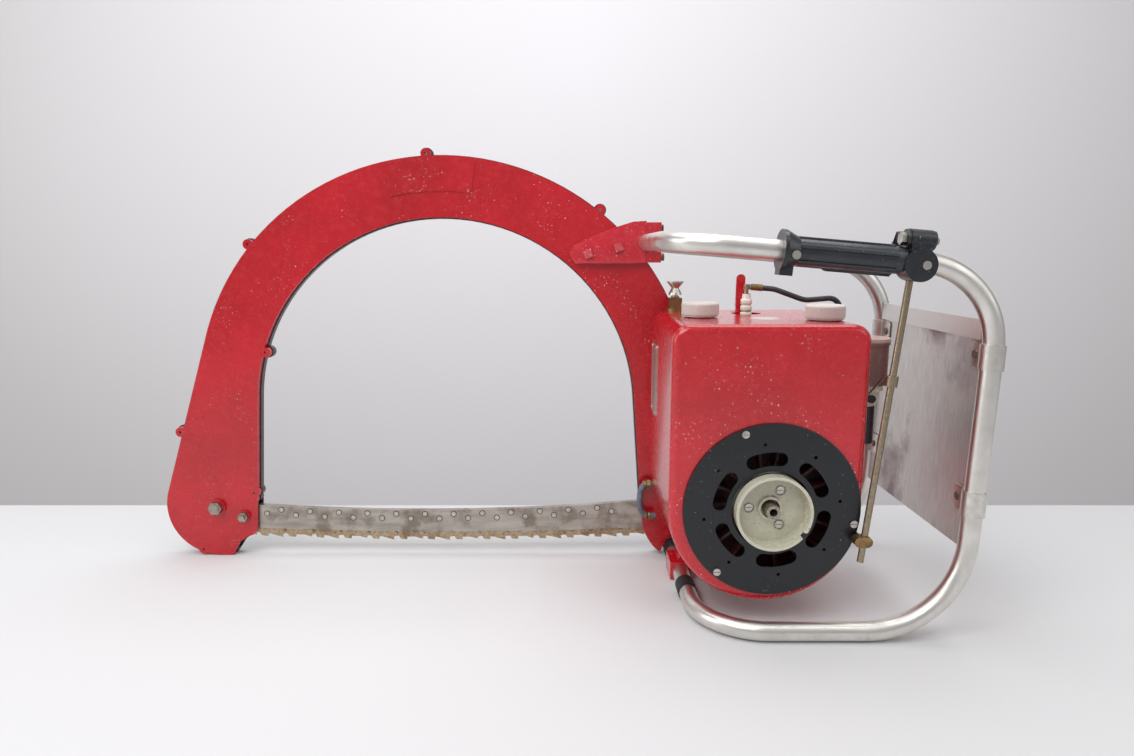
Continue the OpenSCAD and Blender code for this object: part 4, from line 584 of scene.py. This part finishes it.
def straight_bracket():
    """The bow's bracket with its lower edge straight and level, and its edges rounded as cast."""
    lower_edge = 0.424
    piece = merged_copy("bow_bracket", "straight_bow_bracket")
    choose(
        piece, "vertices", lambda corner: 0.0955 < corner.co.x < 0.1355 and 0.4243 < corner.co.z < 0.4326
    )
    bpy.ops.transform.resize(value=(1, 1, 0), center_override=(0, 0, lower_edge))
    bpy.ops.mesh.select_all(action="SELECT")
    bpy.ops.mesh.dissolve_limited(angle_limit=math.radians(0.3))
    bpy.ops.object.mode_set(mode="OBJECT")
    rounding = piece.modifiers.new("cast_edge", "BEVEL")
    rounding.width = 0.0012
    rounding.segments = 3
    rounding.limit_method = "ANGLE"
    rounding.angle_limit = math.radians(40)
    bpy.ops.object.modifier_apply(modifier="cast_edge")
    settle(piece, "saw", bracket_enamel)
    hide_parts("bow_bracket")


def wide_clips():
    """The shield's clips, copies of the CAD's with their straps drawn out to 28 mm."""
    piece = merged_copy("shield_clamps", "wide_shield_clips")
    for z in CLIP_Z:
        for side in (-1, 1):
            choose(piece, "vertices", lambda corner: 0.004 < (corner.co.z - z) * side < 0.0095)
            bpy.ops.transform.translate(value=(0, 0, 0.007 * side))
    settle(piece, "saw", clip_alloy)
    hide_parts("shield_clamps")


def clip_tabs():
    """Bent ends of the shield's clips, laid over its face under the bolt heads."""
    thick, wide, tall = 0.0016, 0.027, 0.028
    for name, y, out in (("near", NEAR_TUBE_Y, 1), ("far", FAR_TUBE_Y, -1)):
        for level, z in zip(("low", "high"), CLIP_Z):
            x = END_X - (TOP_END_Z - z) * math.tan(LEAN)
            piece = start_piece(
                bpy.ops.mesh.primitive_cube_add, f"clip_tab_{name}_{level}", size=1,
                location=(x - 0.0029, y + out * 0.0235, z),
            )
            piece.scale = (thick, wide, tall)
            bpy.ops.object.transform_apply(location=False, rotation=False, scale=True)
            # the corners of the free end are rounded
            choose(
                piece, "edges",
                lambda edge: through(piece, edge) and all(
                    piece.data.vertices[i].co.y * out > 0.012 for i in edge.vertices
                ),
            )
            bpy.ops.mesh.bevel(offset=0.0035, segments=4)
            # the end at the tube is bent up towards it
            choose(piece, "polygons", lambda face: face.normal.y * out < -0.9)
            bpy.ops.mesh.extrude_region_move(TRANSFORM_OT_translate={"value": (0.004, -out * 0.003, 0)})
            bpy.ops.mesh.select_all(action="SELECT")
            bpy.ops.mesh.bevel(offset=0.0003, segments=1)
            bpy.ops.mesh.normals_make_consistent(inside=False)
            bpy.ops.object.mode_set(mode="OBJECT")
            piece.rotation_euler = (0, LEAN, 0)
            settle(piece, "saw", clip_alloy, 30)


def hose_run(name, points, radius):
    """A bent hose, open at its two held ends, which lie inside what holds them."""
    data = bpy.data.curves.new(name, "CURVE")
    data.dimensions = "3D"
    data.bevel_depth = radius
    data.bevel_resolution = 6
    data.resolution_u = 10
    data.use_fill_caps = True
    line = data.splines.new("BEZIER")
    line.bezier_points.add(len(points) - 1)
    for knot, place in zip(line.bezier_points, points):
        knot.co = place
        knot.handle_left_type = knot.handle_right_type = "AUTO"
    piece = bpy.data.objects.new(name, data)
    scene.collection.objects.link(piece)
    bpy.ops.object.select_all(action="DESELECT")
    piece.select_set(True)
    bpy.context.view_layer.objects.active = piece
    bpy.ops.object.convert(target="MESH")
    return bpy.context.object


def oil_hose():
    """The oil hose on the bow's side, with a brass union at the top and a pressed ferrule below."""
    upper, lower = (HOUSING_LEFT, 0.0965, 0.1120), (HOUSING_LEFT, 0.0925, 0.0657)
    path = [
        (0.1800, 0.0965, 0.1120), (0.1690, 0.0960, 0.1115), (0.1625, 0.0950, 0.1040),
        (0.1605, 0.0940, 0.0920), (0.1610, 0.0930, 0.0790), (0.1660, 0.0926, 0.0690),
        (0.1760, 0.0925, 0.0658), (0.1830, 0.0925, 0.0655),
    ]
    hose = hose_run("bent_oil_hose", path, 0.0044)
    settle(hose, "saw", hose_rubber, 60)
    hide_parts("oil_hose")
    rings = [
        (0.0076, -0.001), (0.0076, 0.0038), (0.0064, 0.0046), (0.0056, 0.0050), (0.0056, 0.0090),
        (0.0050, 0.0096),
    ]
    union = turned("oil_hose_union", upper, rings, 6, (0, -90, 0))
    settle(union, "saw", old_brass)
    rings = [
        (0.0056, -0.001), (0.0056, 0.0012), (0.0052, 0.0018), (0.0056, 0.0024), (0.0056, 0.0052),
        (0.0048, 0.0058),
    ]
    ferrule = turned("oil_hose_ferrule", lower, rings, 24, (0, -90, 0))
    settle(ferrule, "saw", old_brass)


throttle_lever()
straight_bracket()
wide_clips()
clip_tabs()
oil_hose()
maker_plate()
rivet_rings()
plug_ribs()


# Stage: pale floor and backdrop, each painted lighter round its middle as a painted pool of light, and soft
# lamps
def flat_stage(name, code, edge, corners, middle, reach_mm):
    """A flat sheet, one colour in its middle and another further out than reach_mm: a painted pool of light.
    """
    mesh = bpy.data.meshes.new(name)
    mesh.from_pydata(corners, [], [tuple(range(len(corners)))])
    piece = bpy.data.objects.new(name, mesh)
    scene.collection.objects.link(piece)
    material, tree, place = start_material(name)
    colour = blend(tree, near_point(tree, place, middle, reach_mm), edge, code)
    finish_material(tree, add(tree, "ShaderNodeBsdfPrincipled", {"Base Color": colour, "Roughness": 0.85}))
    mesh.materials.append(material)
    return piece


def light(name, place, aim, size, power):
    """A rectangular lamp turned to its aim."""
    data = bpy.data.lights.new(name, "AREA")
    data.shape = "RECTANGLE"
    data.size, data.size_y = size
    data.energy = power
    lamp = bpy.data.objects.new(name, data)
    scene.collection.objects.link(lamp)
    lamp.location = place
    lamp.rotation_euler = (Vector(aim) - Vector(place)).to_track_quat("-Z", "Y").to_euler()


place_camera()
# the floor lies just under the feet, and ends where the photo's table does
floor_z, table_end = -0.0005, 0.3276
# the floor is painted lighter near the saw and greyer further out, a painted pool of light
flat_stage(
    "floor", "#D1D1D2", "#CACACB",
    [(-4, -3, floor_z), (4, -3, floor_z), (4, table_end, floor_z), (-4, table_end, floor_z)],
    (-0.2, -0.2, 0), 1500,
)
wall_y = 1.4
# the backdrop is painted lighter round its middle and darker further out, a painted pool of light
flat_stage(
    "backdrop", "#EBE9EC", "#D6D3D4",
    [(-6, wall_y, -3), (6, wall_y, -3), (6, wall_y, 4), (-6, wall_y, 4)],
    (0.1, wall_y, 1.0), 2000,
)
light("key", (-0.9, -1.5, 2.0), (0, 0, 0.2), (1.8, 1.2), 30)
light("side", (-2.2, -0.5, 0.9), (0.1, 0, 0.25), (1.2, 1.4), 12)
light("fill", (1.8, -1.0, 1.4), (0.2, 0, 0.2), (1.6, 1.6), 9)
light("top", (0.0, 0.35, 2.3), (0, 0, 0.2), (2.6, 1.2), 28)
light("strip", (0.1, -0.9, 2.2), (0.1, 0, 0.25), (2.4, 0.14), 7)

world = bpy.data.worlds.new("studio")
scene.world = world
world.use_nodes = True
world.node_tree.nodes["Background"].inputs["Color"].default_value = (0.93, 0.93, 0.95, 1)
world.node_tree.nodes["Background"].inputs["Strength"].default_value = 0.42
scene.view_settings.view_transform = "Standard"
